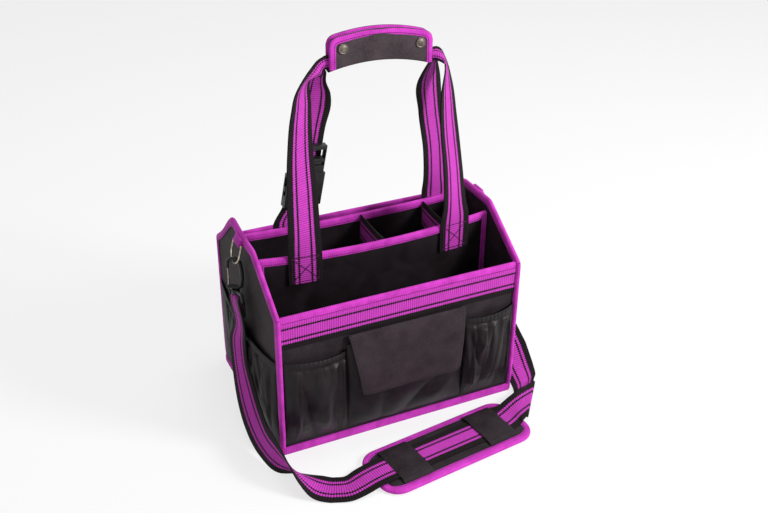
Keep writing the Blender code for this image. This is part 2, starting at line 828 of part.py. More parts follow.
def wrap_sheet(name, near, far, flap):
    # One padded face of the wrap. The back face also holds the fold under the straps.
    columns = 12
    rings = []
    for k in range(columns + 1):
        x = wrap_shift - wrap_length / 2 + wrap_length * k / columns
        z = wrap_line(x)
        top, bottom = z + wrap_height / 2, z - wrap_height / 2
        fold = bottom + wrap_fold
        if flap:
            foot = fold + clearance
            rings.append([(x, near, foot), (x, far, foot), (x, far, top), (x, near, top)])
        else:
            edge = -far
            rings.append([(x, near, fold), (x, edge + 0.001, fold), (x, edge + 0.001, bottom + 0.0015),
                          (x, edge + 0.004, bottom), (x, far - 0.002, bottom), (x, far, fold),
                          (x, far, top), (x, near, top)])
    return skin(name, rings, "black_cloth", smooth=False)


def build_wrap():
    gap = wrap_cavity / 2
    back = wrap_sheet("wrap_back", gap, gap + wrap_cloth, False)
    flap = wrap_sheet("wrap_flap", -gap, -gap - wrap_cloth, True)
    moving = [flap]
    fixed = [back]
    for name, side in (("left", -1), ("right", 1)):
        x = wrap_shift + side * (wrap_length / 2 - snap_inset)
        z = wrap_line(x) + snap_rise
        face = -(gap + wrap_cloth + clearance)
        cap = drum(name + "_snap_cap", (x, face, z), (0, -1, 0), snap_radius, snap_thickness,
                   "nickel", dome=1.0)
        moving.append(cap)
        stud = drum(name + "_snap_stud", (x, gap - clearance, z), (0, -1, 0), snap_radius * 0.6,
                    wrap_cavity - 2 * clearance, "nickel", sides=14)
        fixed.append(stud)
    lowest = min(wrap_line(wrap_shift + side * wrap_length / 2) for side in (-1, 1))
    axis_z = lowest - wrap_height / 2 + wrap_fold
    carry(pivot("wrap_flap_hinge", (wrap_shift, -gap - wrap_cloth, axis_z)), *moving)
    return fixed


def build_ring_side(name, side):
    # Tab, ring, snap hook, gate and swivel eye on one end of the tote.
    tilt = math.radians(ring_tilt_degrees)
    tab_back = half_width + clearance
    loop_radius = ring_wire + clearance + webbing_thickness
    bar_x = tab_back + loop_radius
    tab_top = ring_height + tab_rise
    outline = [(bar_x - loop_radius, tab_top), (bar_x - loop_radius, ring_height)]
    outline += [(bar_x + loop_radius * math.cos(a + math.pi), ring_height
                 + loop_radius * math.sin(a + math.pi)) for a in
                [math.radians(15 * k) for k in range(1, 12)]]
    outline += [(bar_x + loop_radius, ring_height), (tab_back + 2 * webbing_thickness, ring_height + 0.007),
                (tab_back + 2 * webbing_thickness, tab_top)]
    outline = [(side * x, z) for x, z in outline]
    tab = prism(name + "_ring_tab", outline, 1, ring_y - tab_width / 2, ring_y + tab_width / 2,
                "magenta_tape", smooth=True)
    hole = drum(name + "_tab_hole", (side * bar_x, ring_y - tab_width, ring_height), (0, 1, 0),
                ring_wire + clearance, 2 * tab_width, "magenta_tape", sides=16)
    combine(tab, hole, "DIFFERENCE")
    half = ring_width / 2 - ring_wire
    bend = half
    corner = 0.004
    flat = []
    for centre_y, centre_z, radius, start, end, count in (
            (half - corner, -corner, corner, 90, 0, 3),
            (0.0, -(ring_drop - bend), bend, 0, -180, 12),
            (-half + corner, -corner, corner, 180, 90, 3)):
        for k in range(count + 1):
            a = math.radians(start + (end - start) * k / count)
            flat.append((centre_y + radius * math.cos(a), centre_z + radius * math.sin(a)))
    path = []
    for y, z in flat:
        path.append(Vector((side * (bar_x - z * math.sin(tilt)), ring_y + y,
                            ring_height + z * math.cos(tilt))))
    ring = tube(name + "_ring", path, ring_wire, "nickel", closed=True)
    axis_x = side * (bar_x + ring_drop * math.sin(tilt))
    bow_z = ring_height - ring_drop * math.cos(tilt) + ring_wire + hook_wire + 2 * clearance
    turn = math.radians(hook_turn_degrees)
    across = Vector((-side * math.sin(turn), -math.cos(turn), 0.0))
    normal = across.cross(Vector((0.0, 0.0, 1.0)))
    axis = Vector((axis_x, ring_y, 0.0))

    def spot(u, z):
        return axis + across * u + Vector((0.0, 0.0, z))

    foot = bow_z - hook_height
    shape = [(-hook_reach * 0.1, foot), (hook_reach * 0.5, foot), (hook_reach * 0.88, foot + 0.002),
             (hook_reach, foot + 0.007), (hook_reach, bow_z - hook_reach)]
    for k in range(1, 9):
        a = math.radians(180 * k / 8)
        shape.append((hook_reach * math.cos(a), bow_z - hook_reach + hook_reach * math.sin(a)))
    nose = bow_z - hook_reach - 0.006
    shape.append((-hook_reach, nose))
    hook = tube(name + "_hook", [spot(u, z) for u, z in shape], hook_wire, "black_metal", sides=10)
    frame = (across, Vector((0.0, 0.0, 1.0)), normal)
    lug = local_box(name + "_hook_lug", axis, frame,
                    (-hook_reach - 0.003, foot - hook_wire, -0.0038),
                    (hook_reach * 0.7, foot + hook_wire * 0.7, 0.0038), "black_metal")
    combine(hook, lug, "UNION")
    gate_top = nose - clearance
    gate_foot = foot + hook_wire * 0.7 + gate_gap
    gate = tube(name + "_hook_gate", [spot(-hook_reach, gate_foot), spot(-hook_reach, gate_top)],
                gate_wire, "nickel", sides=10)
    collar_top = foot - hook_wire - clearance
    collar = drum(name + "_swivel_eye", (axis.x, axis.y, collar_top), (0, 0, -1), collar_radius,
                  collar_height, "black_metal", sides=20)
    eye_top = collar_top - collar_height + eye_wire
    eye_low = eye_top - eye_drop
    eye_half = webbing_width / 2 + clearance + eye_wire + eye_corner
    lean = Matrix.Rotation(-math.radians(eye_lean_degrees), 4, "X")
    centre = Vector((axis.x, ring_y, eye_top))
    loop = []
    for cy, cz, start in ((eye_half, eye_top, 90), (eye_half, eye_low, 0),
                          (-eye_half, eye_low, -90), (-eye_half, eye_top, -180)):
        cy -= math.copysign(eye_corner, cy)
        cz += eye_corner if cz == eye_low else -eye_corner
        for k in range(4):
            a = math.radians(start - 90 * k / 3)
            spot_y, spot_z = cy + eye_corner * math.cos(a), cz + eye_corner * math.sin(a)
            loop.append(centre + lean @ Vector((0.0, spot_y, spot_z - eye_top)))
    frame_bar = tube(name + "_eye_frame", loop, eye_wire, "black_metal", closed=True)
    combine(collar, frame_bar, "UNION")
    bar = Vector((0.0, 0.0, eye_low - eye_top))
    return {"ring": ring, "hook": hook, "gate": gate, "eye": collar, "bar": bar, "lean": lean, "centre": centre,
            "swing": Vector((side * bar_x, ring_y, ring_height)),
            "swivel": Vector((axis.x, ring_y, collar_top)),
            "gate_pivot": spot(-hook_reach, gate_foot), "across": across}


def strap_loop(gear, side, hang):
    # The strap's end turns round the eye's bar; its tail lies against the long part.
    bar = gear["bar"]
    radius = eye_wire + clearance + webbing_thickness / 2
    half = Vector((0.0, -webbing_width / 2, 0.0))
    stations = [(bar + Vector((-side * radius * 0.45, 0.0, -hang)), half),
                (bar + Vector((-side * radius, 0.0, -0.008)), half)]
    for k in range(7):
        a = math.pi * k / 6
        stations.append((bar + Vector((-side * radius * math.cos(a), 0.0, radius * math.sin(a))), half))
    stations.append((bar + Vector((side * radius, 0.0, -0.008)), half))
    stations.append((bar + Vector((side * radius * 0.45, 0.0, -hang)), half))
    lean, centre = gear["lean"], gear["centre"]
    return [(centre + lean @ middle, lean @ edge) for middle, edge in stations]


def floor_route():
    # The strap's middle and edge vectors from the left fall to the crease beside the pad.
    half = webbing_width / 2
    turn = math.radians(pad_turn_degrees)
    along = Vector((math.cos(turn), math.sin(turn), 0.0))
    side = Vector((math.sin(turn), -math.cos(turn), 0.0)) * half
    pad_middle = Vector((pad_shift, -half_depth - pad_ahead, 0.0))
    level = pad_rise + clearance + webbing_thickness / 2
    left = -half_width
    front = -half_depth
    flat = webbing_thickness / 2 + clearance
    return half, along, side, pad_middle, level, left, front, flat


def build_shoulder_strap(left_gear, right_gear):
    half, along, side, pad_middle, level, left, front, flat = floor_route()
    hang = 0.026
    left_loop = strap_loop(left_gear, -1, hang)
    strap("left_strap_end", left_loop)
    right_loop = strap_loop(right_gear, 1, hang)
    strap("right_strap_end", right_loop)

    top, top_edge = left_loop[-1]
    drop = left_gear["lean"] @ Vector((0.0, 0.0, -1.0))
    fall = [(top + drop * clearance, top_edge),
            (top + drop * 0.012, top_edge),
            (Vector((left - 0.0150, 0.010, 0.122)), Vector((0.10, -0.97, 0.22)) * half),
            (Vector((left - 0.0165, -0.006, 0.088)), Vector((0.24, -0.85, 0.47)) * half),
            (Vector((left - 0.0205, -0.038, 0.060)), Vector((0.40, -0.46, 0.79)) * half),
            (Vector((left - 0.0240, -0.085, 0.038)), Vector((0.42, -0.14, 0.90)) * half)]
    ground = [(Vector((left - 0.0235, front + 0.011, 0.0285)), Vector((0.28, 0.0, 0.96)) * half),
              (Vector((left - 0.0165, front - 0.029, 0.0262)), Vector((0.05, 0.0, 1.0)) * half),
              (Vector((left - 0.0045, front - 0.054, 0.0225)), Vector((-0.38, -0.45, 0.81)) * half),
              (Vector((left + 0.0075, front - 0.071, 0.0125)), Vector((-0.58, -0.68, 0.44)) * half),
              (Vector((left + 0.0205, front - 0.083, 0.0040)), Vector((-0.62, -0.78, 0.08)) * half),
              (Vector((left + 0.0385, front - 0.095, flat)), Vector((-0.49, -0.87, 0.0)) * half),
              (Vector((left + 0.0600, front - 0.104, flat + 0.001)), Vector((-0.27, -0.96, 0.0)) * half)]
    whole = trace(fall + ground, 4)
    cut = 4 * (len(fall) - 1)
    strap("left_strap_fall", whole[:cut + 1])
    lead = pad_middle - along * (pad_length / 2 + 0.016)
    exit_point = pad_middle + along * (keeper_spacing / 2 + keeper_width / 2 + clearance)
    up = Vector((0.0, 0.0, level))
    # The strap leaves the pad at a slant, over its rim, and folds flat beyond it.
    slant = math.radians(fold_slant_degrees)
    away = Vector((math.cos(slant), math.sin(slant), 0.0))
    across = Vector((away.y, -away.x, 0.0)) * half
    over = [(lead + up, side), (lead + along * 0.006 + up, side),
            (pad_middle - along * 0.05 + up, side), (pad_middle + along * 0.045 + up, side),
            (exit_point - along * 0.028 + up, (side * 2 + across) / 3), (exit_point + up, across)]
    crease_angle = math.radians(fold_crease_degrees)
    crease_line = Vector((math.cos(crease_angle), math.sin(crease_angle), 0.0))
    reach = half / math.sin(crease_angle - slant)
    middle = exit_point + away * fold_reach
    low, high = webbing_thickness + pad_rise + 2 * clearance, flat + 0.0006
    near = middle - crease_line * reach + Vector((0, 0, low))
    far = middle + crease_line * reach + Vector((0, 0, high))
    lift = Vector((0, 0, 0.0042))
    crease = (far - near) / 2
    fold_mid = (far + near) / 2
    fold_out = Vector((crease_line.y, -crease_line.x, 0.0))

    mid_right = near - away * 0.010 + lift
    mid_left = far - away * 0.058 + lift + Vector((0, 0, 0.0062))
    bridge = [(exit_point + away * 0.012 + up, across), ((mid_right + mid_left) / 2, (mid_right - mid_left) / 2),
              (fold_mid + lift, -crease)]
    turn_mid = [(fold_mid + fold_out * 0.0021 + lift / 2, -crease)]
    after = math.radians(2 * fold_crease_degrees - fold_slant_degrees)
    lead_away = Vector((math.cos(after), math.sin(after), 0.0))
    back_right = near + lead_away * 0.045
    back_right.z = flat + 0.0078
    back_left = far + Vector((0.0055, 0.0085, 0.0))
    back_left.z = flat
    back = [(fold_mid, -crease), ((back_right + back_left) / 2, (back_right - back_left) / 2)]
    x = half_width
    back.append((Vector((x + 0.0300, front + 0.0095, flat + 0.0018)), Vector((-1.10, -0.40, 0.07)) * half))
    rising = [(Vector((x + 0.0360, front + 0.035, 0.0080)), Vector((-0.99, 0.10, -0.10)) * half),
              (Vector((x + 0.0385, front + 0.065, 0.0300)), Vector((-0.95, 0.10, -0.28)) * half),
              (Vector((x + 0.0330, front + 0.096, 0.0680)), Vector((-0.70, -0.45, -0.55)) * half),
              (Vector((x + 0.0225, front + 0.124, 0.1180)), Vector((-0.25, -0.93, -0.25)) * half)]
    end, end_edge = right_loop[-1]
    drop = right_gear["lean"] @ Vector((0.0, 0.0, -1.0))
    rising.append((end + drop * 0.012, end_edge))
    rising.append((end + drop * clearance, end_edge))
    part_one = whole[cut:]
    second = trace([ground[-2], ground[-1]] + over + bridge, 4)
    fold = bridge[-1:] + turn_mid + back[:1]
    third = trace(back + rising[:2], 4)
    fourth = trace(rising[1:], 5)
    joined = trim(part_one[:-5], True) + second[:-1] + fold + third[1:]
    strap("shoulder_strap", joined)
    strap("right_strap_fall", trim(fourth, True))


def rounded_outline(length, width, radius, steps):
    points = []
    for sx, sy, start in ((1, 1, 0), (-1, 1, 90), (-1, -1, 180), (1, -1, 270)):
        for k in range(steps + 1):
            a = math.radians(start + 90 * k / steps)
            points.append((sx * (length / 2 - radius) + radius * math.cos(a),
                           sy * (width / 2 - radius) + radius * math.sin(a)))
    return points


def build_pad():
    half, along, side, pad_middle, level, left, front, flat = floor_route()
    turn = Matrix.Rotation(math.radians(pad_turn_degrees), 4, "Z")
    steps = 5
    rim_low = rim + 0.0004
    rim_high = rim_low + pad_rim
    rings = []
    for inset, height in ((binding_width + 0.014, pad_rise), (binding_width + 0.004, pad_rise - 0.0008),
                          (binding_width, rim_high), (rim, rim_high), (rim, rim_low),
                          (binding_width, rim_low), (binding_width + 0.006, 0.0)):
        outline = rounded_outline(pad_length - 2 * inset, pad_width - 2 * inset,
                                  max(pad_corner - inset, 0.004), steps)
        rings.append([Vector((x, y, height)) for x, y in outline])
    pad = skin("shoulder_pad", rings, "black_cloth", smooth=True)
    outer = rounded_outline(pad_length, pad_width, pad_corner, steps)
    inner = rounded_outline(pad_length - 2 * binding_thickness, pad_width - 2 * binding_thickness,
                            pad_corner - binding_thickness, steps)
    lip_inset = binding_width - clearance
    lip = rounded_outline(pad_length - 2 * lip_inset, pad_width - 2 * lip_inset,
                          pad_corner - lip_inset, steps)
    low, high = clearance, rim_high + rim
    t = binding_thickness
    sections = []
    for o, i, p in zip(outer, inner, lip):
        sections.append([Vector((*o, low)), Vector((*p, low)), Vector((*p, low + t)),
                         Vector((*i, low + t)), Vector((*i, high - t)), Vector((*p, high - t)),
                         Vector((*p, high)), Vector((*o, high))])
    tape = skin("pad_binding", sections, "magenta_tape", closed=True)
    keepers = []
    reach = pad_width / 2 - binding_width - clearance
    span = webbing_width / 2 + keeper_play
    over = pad_rise + 2 * clearance + webbing_thickness
    base = pad_rise + clearance
    profile = [(-reach, base - 0.0006), (-span - 0.004, base), (-span, over), (span, over),
               (span + 0.004, base), (reach, base - 0.0006)]
    for name, sign in (("left", -1), ("right", 1)):
        x = sign * keeper_spacing / 2
        rows = []
        for y, z in profile:
            rows.append([Vector((x - keeper_width / 2, y, z)), Vector((x + keeper_width / 2, y, z)),
                         Vector((x + keeper_width / 2, y, z + keeper_thickness)),
                         Vector((x - keeper_width / 2, y, z + keeper_thickness))])
        keepers.append(skin(name + "_keeper", rows, "black_cloth"))
    mark = pivot("pad_slide", pad_middle, turn)
    for piece in [pad, tape] + keepers:
        piece.parent = mark


def main():
    clear_scene()
    build_base()
    build_walls()
    build_ends()
    build_dividers()
    build_front_pockets()
    build_end_pockets()
    build_handle()
    build_back_left_leg()
    build_buckle()
    fixed = build_wrap()
    left_gear = build_ring_side("left", -1)
    right_gear = build_ring_side("right", 1)
    build_shoulder_strap(left_gear, right_gear)
    build_pad()
    for name, gear in (("left", left_gear), ("right", right_gear)):
        carry(pivot(name + "_gate_pivot", gear["gate_pivot"]), gear["gate"])
        carry(pivot(name + "_swivel", gear["swivel"]), gear["hook"])
        carry(pivot(name + "_ring_pivot", gear["swing"]), gear["ring"], gear["eye"],
              bpy.data.objects[name + "_strap_end"])
    swing = pivot("handle_swing", (0.0, 0.0, handle_base))
    upper = [bpy.data.objects[name] for name in
             ("front_handle_strap", "back_handle_strap", "buckle_socket")]
    carry(swing, *fixed, *upper)


main()
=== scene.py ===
# Grooming tote, dressed for rendering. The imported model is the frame, and every cloth, tape,
# strap and fitting is built round it in metres, +Z up, where the frame's own pieces lie.
import math

import bpy
from mathutils import Matrix, Vector, noise


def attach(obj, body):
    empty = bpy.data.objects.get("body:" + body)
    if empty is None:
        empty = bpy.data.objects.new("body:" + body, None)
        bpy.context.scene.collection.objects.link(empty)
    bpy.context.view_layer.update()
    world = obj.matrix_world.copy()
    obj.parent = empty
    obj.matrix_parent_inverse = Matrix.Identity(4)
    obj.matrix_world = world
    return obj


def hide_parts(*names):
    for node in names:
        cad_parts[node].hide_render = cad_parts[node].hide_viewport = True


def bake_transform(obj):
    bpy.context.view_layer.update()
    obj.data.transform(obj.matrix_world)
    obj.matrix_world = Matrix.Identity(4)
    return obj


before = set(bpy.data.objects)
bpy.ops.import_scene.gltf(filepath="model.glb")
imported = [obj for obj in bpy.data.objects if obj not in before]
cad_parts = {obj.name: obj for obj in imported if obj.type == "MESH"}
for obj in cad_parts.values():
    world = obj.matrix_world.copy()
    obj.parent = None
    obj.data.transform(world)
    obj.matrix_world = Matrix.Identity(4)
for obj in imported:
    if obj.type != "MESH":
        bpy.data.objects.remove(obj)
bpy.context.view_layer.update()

tote = {
    "halfWidth": 0.1935, "halfDepth": 0.136, "wallHeight": 0.235, "shoulder": 0.298,
    "dividerY": 0.041, "dividerTop": 0.279, "dividerFoot": 0.0071, "frontIn": 0.0025, "bow": 0.013,
    "backBow": 0.002, "sag": 0.004, "board": 0.004, "fin": 0.006, "finFoot": 0.020, "finIn": 0.045,
    "tape": 0.011, "tapeThick": 0.0012, "gap": 0.0003, "bandDrop": 0.052, "uneven": 0.0002,
}
webbing = {"width": 0.050, "thick": 0.0018}
rim = tote["tapeThick"] + tote["gap"]
endFace = tote["halfWidth"] - rim
endInside = endFace - tote["board"] - rim - tote["gap"]
wallFace = tote["halfDepth"] - tote["fin"]
panelFoot = tote["board"] + tote["gap"]
dividerSkin = tote["board"] / 2 + rim
frontDivider = tote["dividerY"] - tote["frontIn"]
bandFoot = tote["wallHeight"] - tote["bandDrop"]
ends = (("left", -1), ("right", 1))
walls = (("front", -1), ("back", 1))
dividers = (("front", -frontDivider, tote["bow"]), ("back", tote["dividerY"], tote["backBow"]))


def say(stage):
    print("stage:", stage)


def deselect():
    bpy.ops.object.select_all(action="DESELECT")


def choose(piece):
    deselect()
    piece.select_set(True)
    bpy.context.view_layer.objects.active = piece


def joined(pieces):
    # Makes one piece of several.
    choose(pieces[0])
    for piece in pieces[1:]:
        piece.select_set(True)
    bpy.ops.object.join()
    return pieces[0]


def addModifier(piece, kind, **settings):
    choose(piece)
    modifier = piece.modifiers.new(kind.lower(), kind)
    for key, value in settings.items():
        setattr(modifier, key, value)
    bpy.ops.object.modifier_apply(modifier=modifier.name)


def cleanMesh(piece, merge=0.00002, capped=False, flattened=False):
    # Merges points, caps the open ends of a bar, turns the faces outwards and joins up flat ones.
    choose(piece)
    bpy.ops.object.mode_set(mode="EDIT")
    bpy.ops.mesh.select_all(action="SELECT")
    if merge:
        bpy.ops.mesh.remove_doubles(threshold=merge)
    if capped:
        bpy.ops.mesh.region_to_loop()
        bpy.ops.mesh.edge_face_add()
        bpy.ops.mesh.select_all(action="SELECT")
    bpy.ops.mesh.normals_make_consistent(inside=False)
    if flattened:
        bpy.ops.mesh.dissolve_limited(angle_limit=math.radians(1.0))
    bpy.ops.object.mode_set(mode="OBJECT")


def smoothByAngle(piece, degrees=40):
    choose(piece)
    bpy.ops.object.shade_smooth_by_angle(angle=math.radians(degrees))


def clothGrid(columns, rows, place, measure, thick=0.0, offset=-1.0, bevel=0.0):
    # A flat grid laid out point by point: place gives each point, measure its place on the cloth in metres.
    deselect()
    bpy.ops.mesh.primitive_grid_add(x_subdivisions=columns, y_subdivisions=rows, size=1.0,
                                    location=(0, 0, 0))
    piece = bpy.context.active_object
    mesh = piece.data
    spots = [(v.co.x + 0.5, v.co.y + 0.5) for v in mesh.vertices]
    for vertex, spot in zip(mesh.vertices, spots):
        vertex.co = place(*spot)
    layer = mesh.uv_layers.active
    for loop in mesh.loops:
        layer.data[loop.index].uv = measure(*spots[loop.vertex_index])
    if thick:
        addModifier(piece, "SOLIDIFY", thickness=thick, offset=offset, use_quality_normals=True)
    if bevel:
        addModifier(piece, "BEVEL", width=bevel, segments=2, limit_method="ANGLE", angle_limit=0.9)
    smoothByAngle(piece, 50)
    return piece


def finishPiece(piece, name, body, material, replaced=()):
    # Body is one body's name, which the piece is attached to. With two names and two places the piece is
    # attached to neither and stays where it is.
    piece.name = name
    piece.data.name = name
    piece.data.materials.clear()
    piece.data.materials.append(material)
    if isinstance(body, str):
        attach(piece, body)
    else:
        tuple(body[2])
        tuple(body[3])
        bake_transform(piece)
    if replaced:
        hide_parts(*replaced)
    return piece


def dressNode(node, material):
    # Gives a piece of the frame itself its material.
    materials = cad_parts[node].data.materials
    materials.clear()
    materials.append(material)


def cutCloth(piece, width, length):
    # Prints a piece's cloth area beside the size it was cut to.
    area = sum(face.area for face in piece.data.polygons) / 2
    print(f"cloth: {piece.name} {area:.4f} m2 of {width * length:.4f} m2 cut")


def at(x, y, z):
    return Vector((x, y, z))


def clamp(value):
    return min(max(value, 0.0), 1.0)


def waver(x, y, z, size, amount):
    # A slow unevenness of cloth, amount metres high and size metres across.
    return noise.noise(at(x, y, z) / size) * amount


# Materials

def hexColour(code):
    parts = [int(code[i:i + 2], 16) / 255 for i in (1, 3, 5)]
    linear = [p / 12.92 if p <= 0.04045 else ((p + 0.055) / 1.055) ** 2.4 for p in parts]
    return (*linear, 1.0)


def addNode(tree, kind, settings=None, links=None):
    # Adds one node. Settings name its properties or its inputs, links name what feeds an input.
    node = tree.nodes.new("ShaderNode" + kind)
    for key, value in (settings or {}).items():
        if isinstance(key, int) or key in node.inputs:
            node.inputs[key].default_value = value
        else:
            setattr(node, key, value)
    for key, source in (links or {}).items():
        tree.links.new(source, node.inputs[key])
    return node


def newMaterial(name, roughness, metallic=0.0, **sockets):
    # Sockets name further inputs of the shader, with a low line for each space.
    material = bpy.data.materials.new(name)
    material.use_nodes = True
    tree = material.node_tree
    shader = tree.nodes["Principled BSDF"]
    shader.inputs["Roughness"].default_value = roughness
    shader.inputs["Metallic"].default_value = metallic
    for key, value in sockets.items():
        shader.inputs[key.replace("_", " ")].default_value = value
    return material, tree, shader


def maths(tree, operation, *values):
    # Each value is a number or what another node gives.
    node = addNode(tree, "Math", {"operation": operation})
    for i, value in enumerate(values):
        if isinstance(value, (int, float)):
            node.inputs[i].default_value = value
        else:
            tree.links.new(value, node.inputs[i])
    return node.outputs[0]


def toned(tree, share, *stops, stepped=False):
    # Turns a share into a colour by a ramp of (place, colour) stops.
    ramp = addNode(tree, "ValToRGB", links={"Fac": share})
    ramp.color_ramp.interpolation = "CONSTANT" if stepped else "LINEAR"
    elements = ramp.color_ramp.elements
    elements.remove(elements[-1])
    elements[0].position = stops[0][0]
    elements[0].color = hexColour(stops[0][1])
    for place, code in stops[1:]:
        elements.new(place).color = hexColour(code)
    return ramp.outputs["Color"]


def painted(tree, under, mask, code):
    # Lays a colour over another where a mask is one.
    return addNode(tree, "MixRGB", {"Color2": hexColour(code)}, {"Fac": mask, "Color1": under}).outputs[0]


def clouds(tree, scale, detail=2.0, distortion=0.0, stretch=None):
    # Noise that stays with the piece.
    place = addNode(tree, "TexCoord").outputs["Object"]
    if stretch:
        place = addNode(tree, "Mapping", {"Scale": stretch}, {"Vector": place}).outputs[0]
    return addNode(tree, "TexNoise", {"Scale": scale, "Detail": detail, "Distortion": distortion},
                   {"Vector": place}).outputs["Fac"]


def ribs(tree, uv, direction, pitch):
    # Threads or ribs a pitch apart. A wave texture of scale 1 repeats every 0.314.
    settings = {"wave_type": "BANDS", "bands_direction": direction, "Scale": 0.314 / pitch}
    return addNode(tree, "TexWave", settings, {"Vector": uv}).outputs["Fac"]


def plainWeave(tree, uv, pitch):
    return maths(tree, "MULTIPLY", ribs(tree, uv, "X", pitch), ribs(tree, uv, "Y", pitch))


def dressed(tree, shader, colour, height=None, strength=0.0, distance=0.0):
    # Gives a shader its colour, and the relief that its light falls on.
    tree.links.new(colour, shader.inputs["Base Color"])
    if height:
        bump = addNode(tree, "Bump", {"Strength": strength, "Distance": distance}, {"Height": height})
        tree.links.new(bump.outputs["Normal"], shader.inputs["Normal"])


def stitchMask(tree, distance, along, inset, pitch, half):
    # Two masks: the groove of a row of stitches inside an edge, and the stitches in it, a pitch apart.
    row = maths(tree, "COMPARE", distance, inset, half)
    beat = maths(tree, "FRACT", maths(tree, "MULTIPLY", along, 1 / pitch))
    return row, maths(tree, "MULTIPLY", row, maths(tree, "GREATER_THAN", beat, 0.62))


clothLook = {"dark": "#1D191B", "light": "#352E32", "thread": 0.0013, "seamInset": 0.0032, "stitch": 0.0036,
             "stitchHalf": 0.0008}


def wovenPolyester(name="wovenPolyester", dark=clothLook["dark"], light=clothLook["light"],
                   stitchedSize=None):
    # Oxford polyester, PVC backed: a dull warm black whose threads catch a little light. A piece with a
    # size has a row of stitches inside its two sides and its foot.
    material, tree, shader = newMaterial(name, 0.55, Specular_IOR_Level=0.05)
    uv = addNode(tree, "UVMap").outputs["UV"]
    height = plainWeave(tree, uv, clothLook["thread"])
    share = maths(tree, "MULTIPLY_ADD", clouds(tree, 420.0), 0.5, clouds(tree, 38.0, 4.0))
    colour = toned(tree, maths(tree, "MULTIPLY_ADD", height, 0.30, share), (0.45, dark), (1.0, light))
    if stitchedSize:
        parts = addNode(tree, "SeparateXYZ", links={0: uv}).outputs
        sides = maths(tree, "MINIMUM", parts["X"], maths(tree, "SUBTRACT", stitchedSize[0], parts["X"]))
        nearest = maths(tree, "MINIMUM", sides, maths(tree, "SUBTRACT", stitchedSize[1], parts["Y"]))
        row, dot = stitchMask(tree, nearest, maths(tree, "ADD", parts["X"], parts["Y"]),
                              clothLook["seamInset"], clothLook["stitch"], clothLook["stitchHalf"])
        # The stitch groove is painted near black, as painted shade in the groove; its stitches are a lighter
        # thread.
        colour = painted(tree, painted(tree, colour, row, "#0C0A0B"), dot, "#4A4146")
        height = maths(tree, "MULTIPLY_ADD", row, -2.5, height)
    dressed(tree, shader, colour, height, 0.40, 0.0004)
    return material


def pocketNylon(name="pocketNylon", shine=0.18, roughness=0.42):
    # Thin coated nylon of the gathered pockets: darker than the flap, with satin light on its folds.
    material, tree, shader = newMaterial(name, roughness, Specular_IOR_Level=shine)
    cloud = clouds(tree, 60.0, 5.0, 0.4)
    weave = plainWeave(tree, addNode(tree, "UVMap").outputs["UV"], 0.0009)
    wrinkle = maths(tree, "MULTIPLY_ADD", weave, 0.12, cloud)
    dressed(tree, shader, toned(tree, cloud, (0.3, "#141012"), (0.8, "#221C1F")), wrinkle, 0.14, 0.0014)
    return material


def liningCloth():
    # Coated nylon lining: smoother than the outside, with soft pressed creases.
    material, tree, shader = newMaterial("liningCloth", 0.50, Specular_IOR_Level=0.06)
    crease = clouds(tree, 24.0, 5.0, 0.6)
    dressed(tree, shader, toned(tree, crease, (0.3, "#151113"), (0.75, "#262024")), crease, 0.25, 0.002)
    return material


tapeLook = {"lit": "#CE3FC0", "deep": "#A22A95", "rib": 0.0030, "stitch": 0.0040, "seam": 0.0022,
            "stitchHalf": 0.00055}


def grosgrainTape():
    # Woven binding tape with ribs across it and a row of stitches by each lip.
    material, tree, shader = newMaterial("grosgrainTape", 0.66, Specular_IOR_Level=0.10, Sheen_Weight=0.05)
    uv = addNode(tree, "UVMap").outputs["UV"]
    parts = addNode(tree, "SeparateXYZ", links={0: uv}).outputs
    rib = ribs(tree, uv, "Y", tapeLook["rib"])
    shade = maths(tree, "MULTIPLY_ADD", rib, 0.30, clouds(tree, 60.0, 4.0))
    colour = toned(tree, shade, (0.35, tapeLook["deep"]), (0.85, tapeLook["lit"]))
    row, dot = stitchMask(tree, parts["X"], parts["Y"], tapeLook["seam"], tapeLook["stitch"],
                          tapeLook["stitchHalf"])
    # The stitch groove is painted a darker magenta, as painted shade in the groove; its stitches are a dark
    # thread.
    colour = painted(tree, painted(tree, colour, row, "#8A2480"), dot, "#4C1648")
    dressed(tree, shader, colour, maths(tree, "MULTIPLY_ADD", row, -1.2, rib), 0.45, 0.0005)
    return material


# Outer and line are places across the webbing, and thin and thick half the width of a black line on a
# rib and between two ribs, all in millimetres.
stripeLook = {"bright": "#C340B6", "black": "#1C1719", "rib": 0.0034, "wale": 0.0021, "outer": 9.8,
              "line": 15.5, "thin": 1.1, "thick": 2.2, "play": 0.5}


def stripeRamp(tree, share, lineHalf, play):
    # Black edges, narrow bright lines, black chain lines and a bright middle.
    full, outer, line = 1000 * webbing["width"], stripeLook["outer"] + play, stripeLook["line"]
    places = [0.0, outer, line - lineHalf, line + lineHalf]
    places += [full - line - lineHalf, full - line + lineHalf, full - outer]
    stops = [(place / full, stripeLook["bright" if i % 2 else "black"]) for i, place in enumerate(places)]
    return toned(tree, share, *stops, stepped=True)


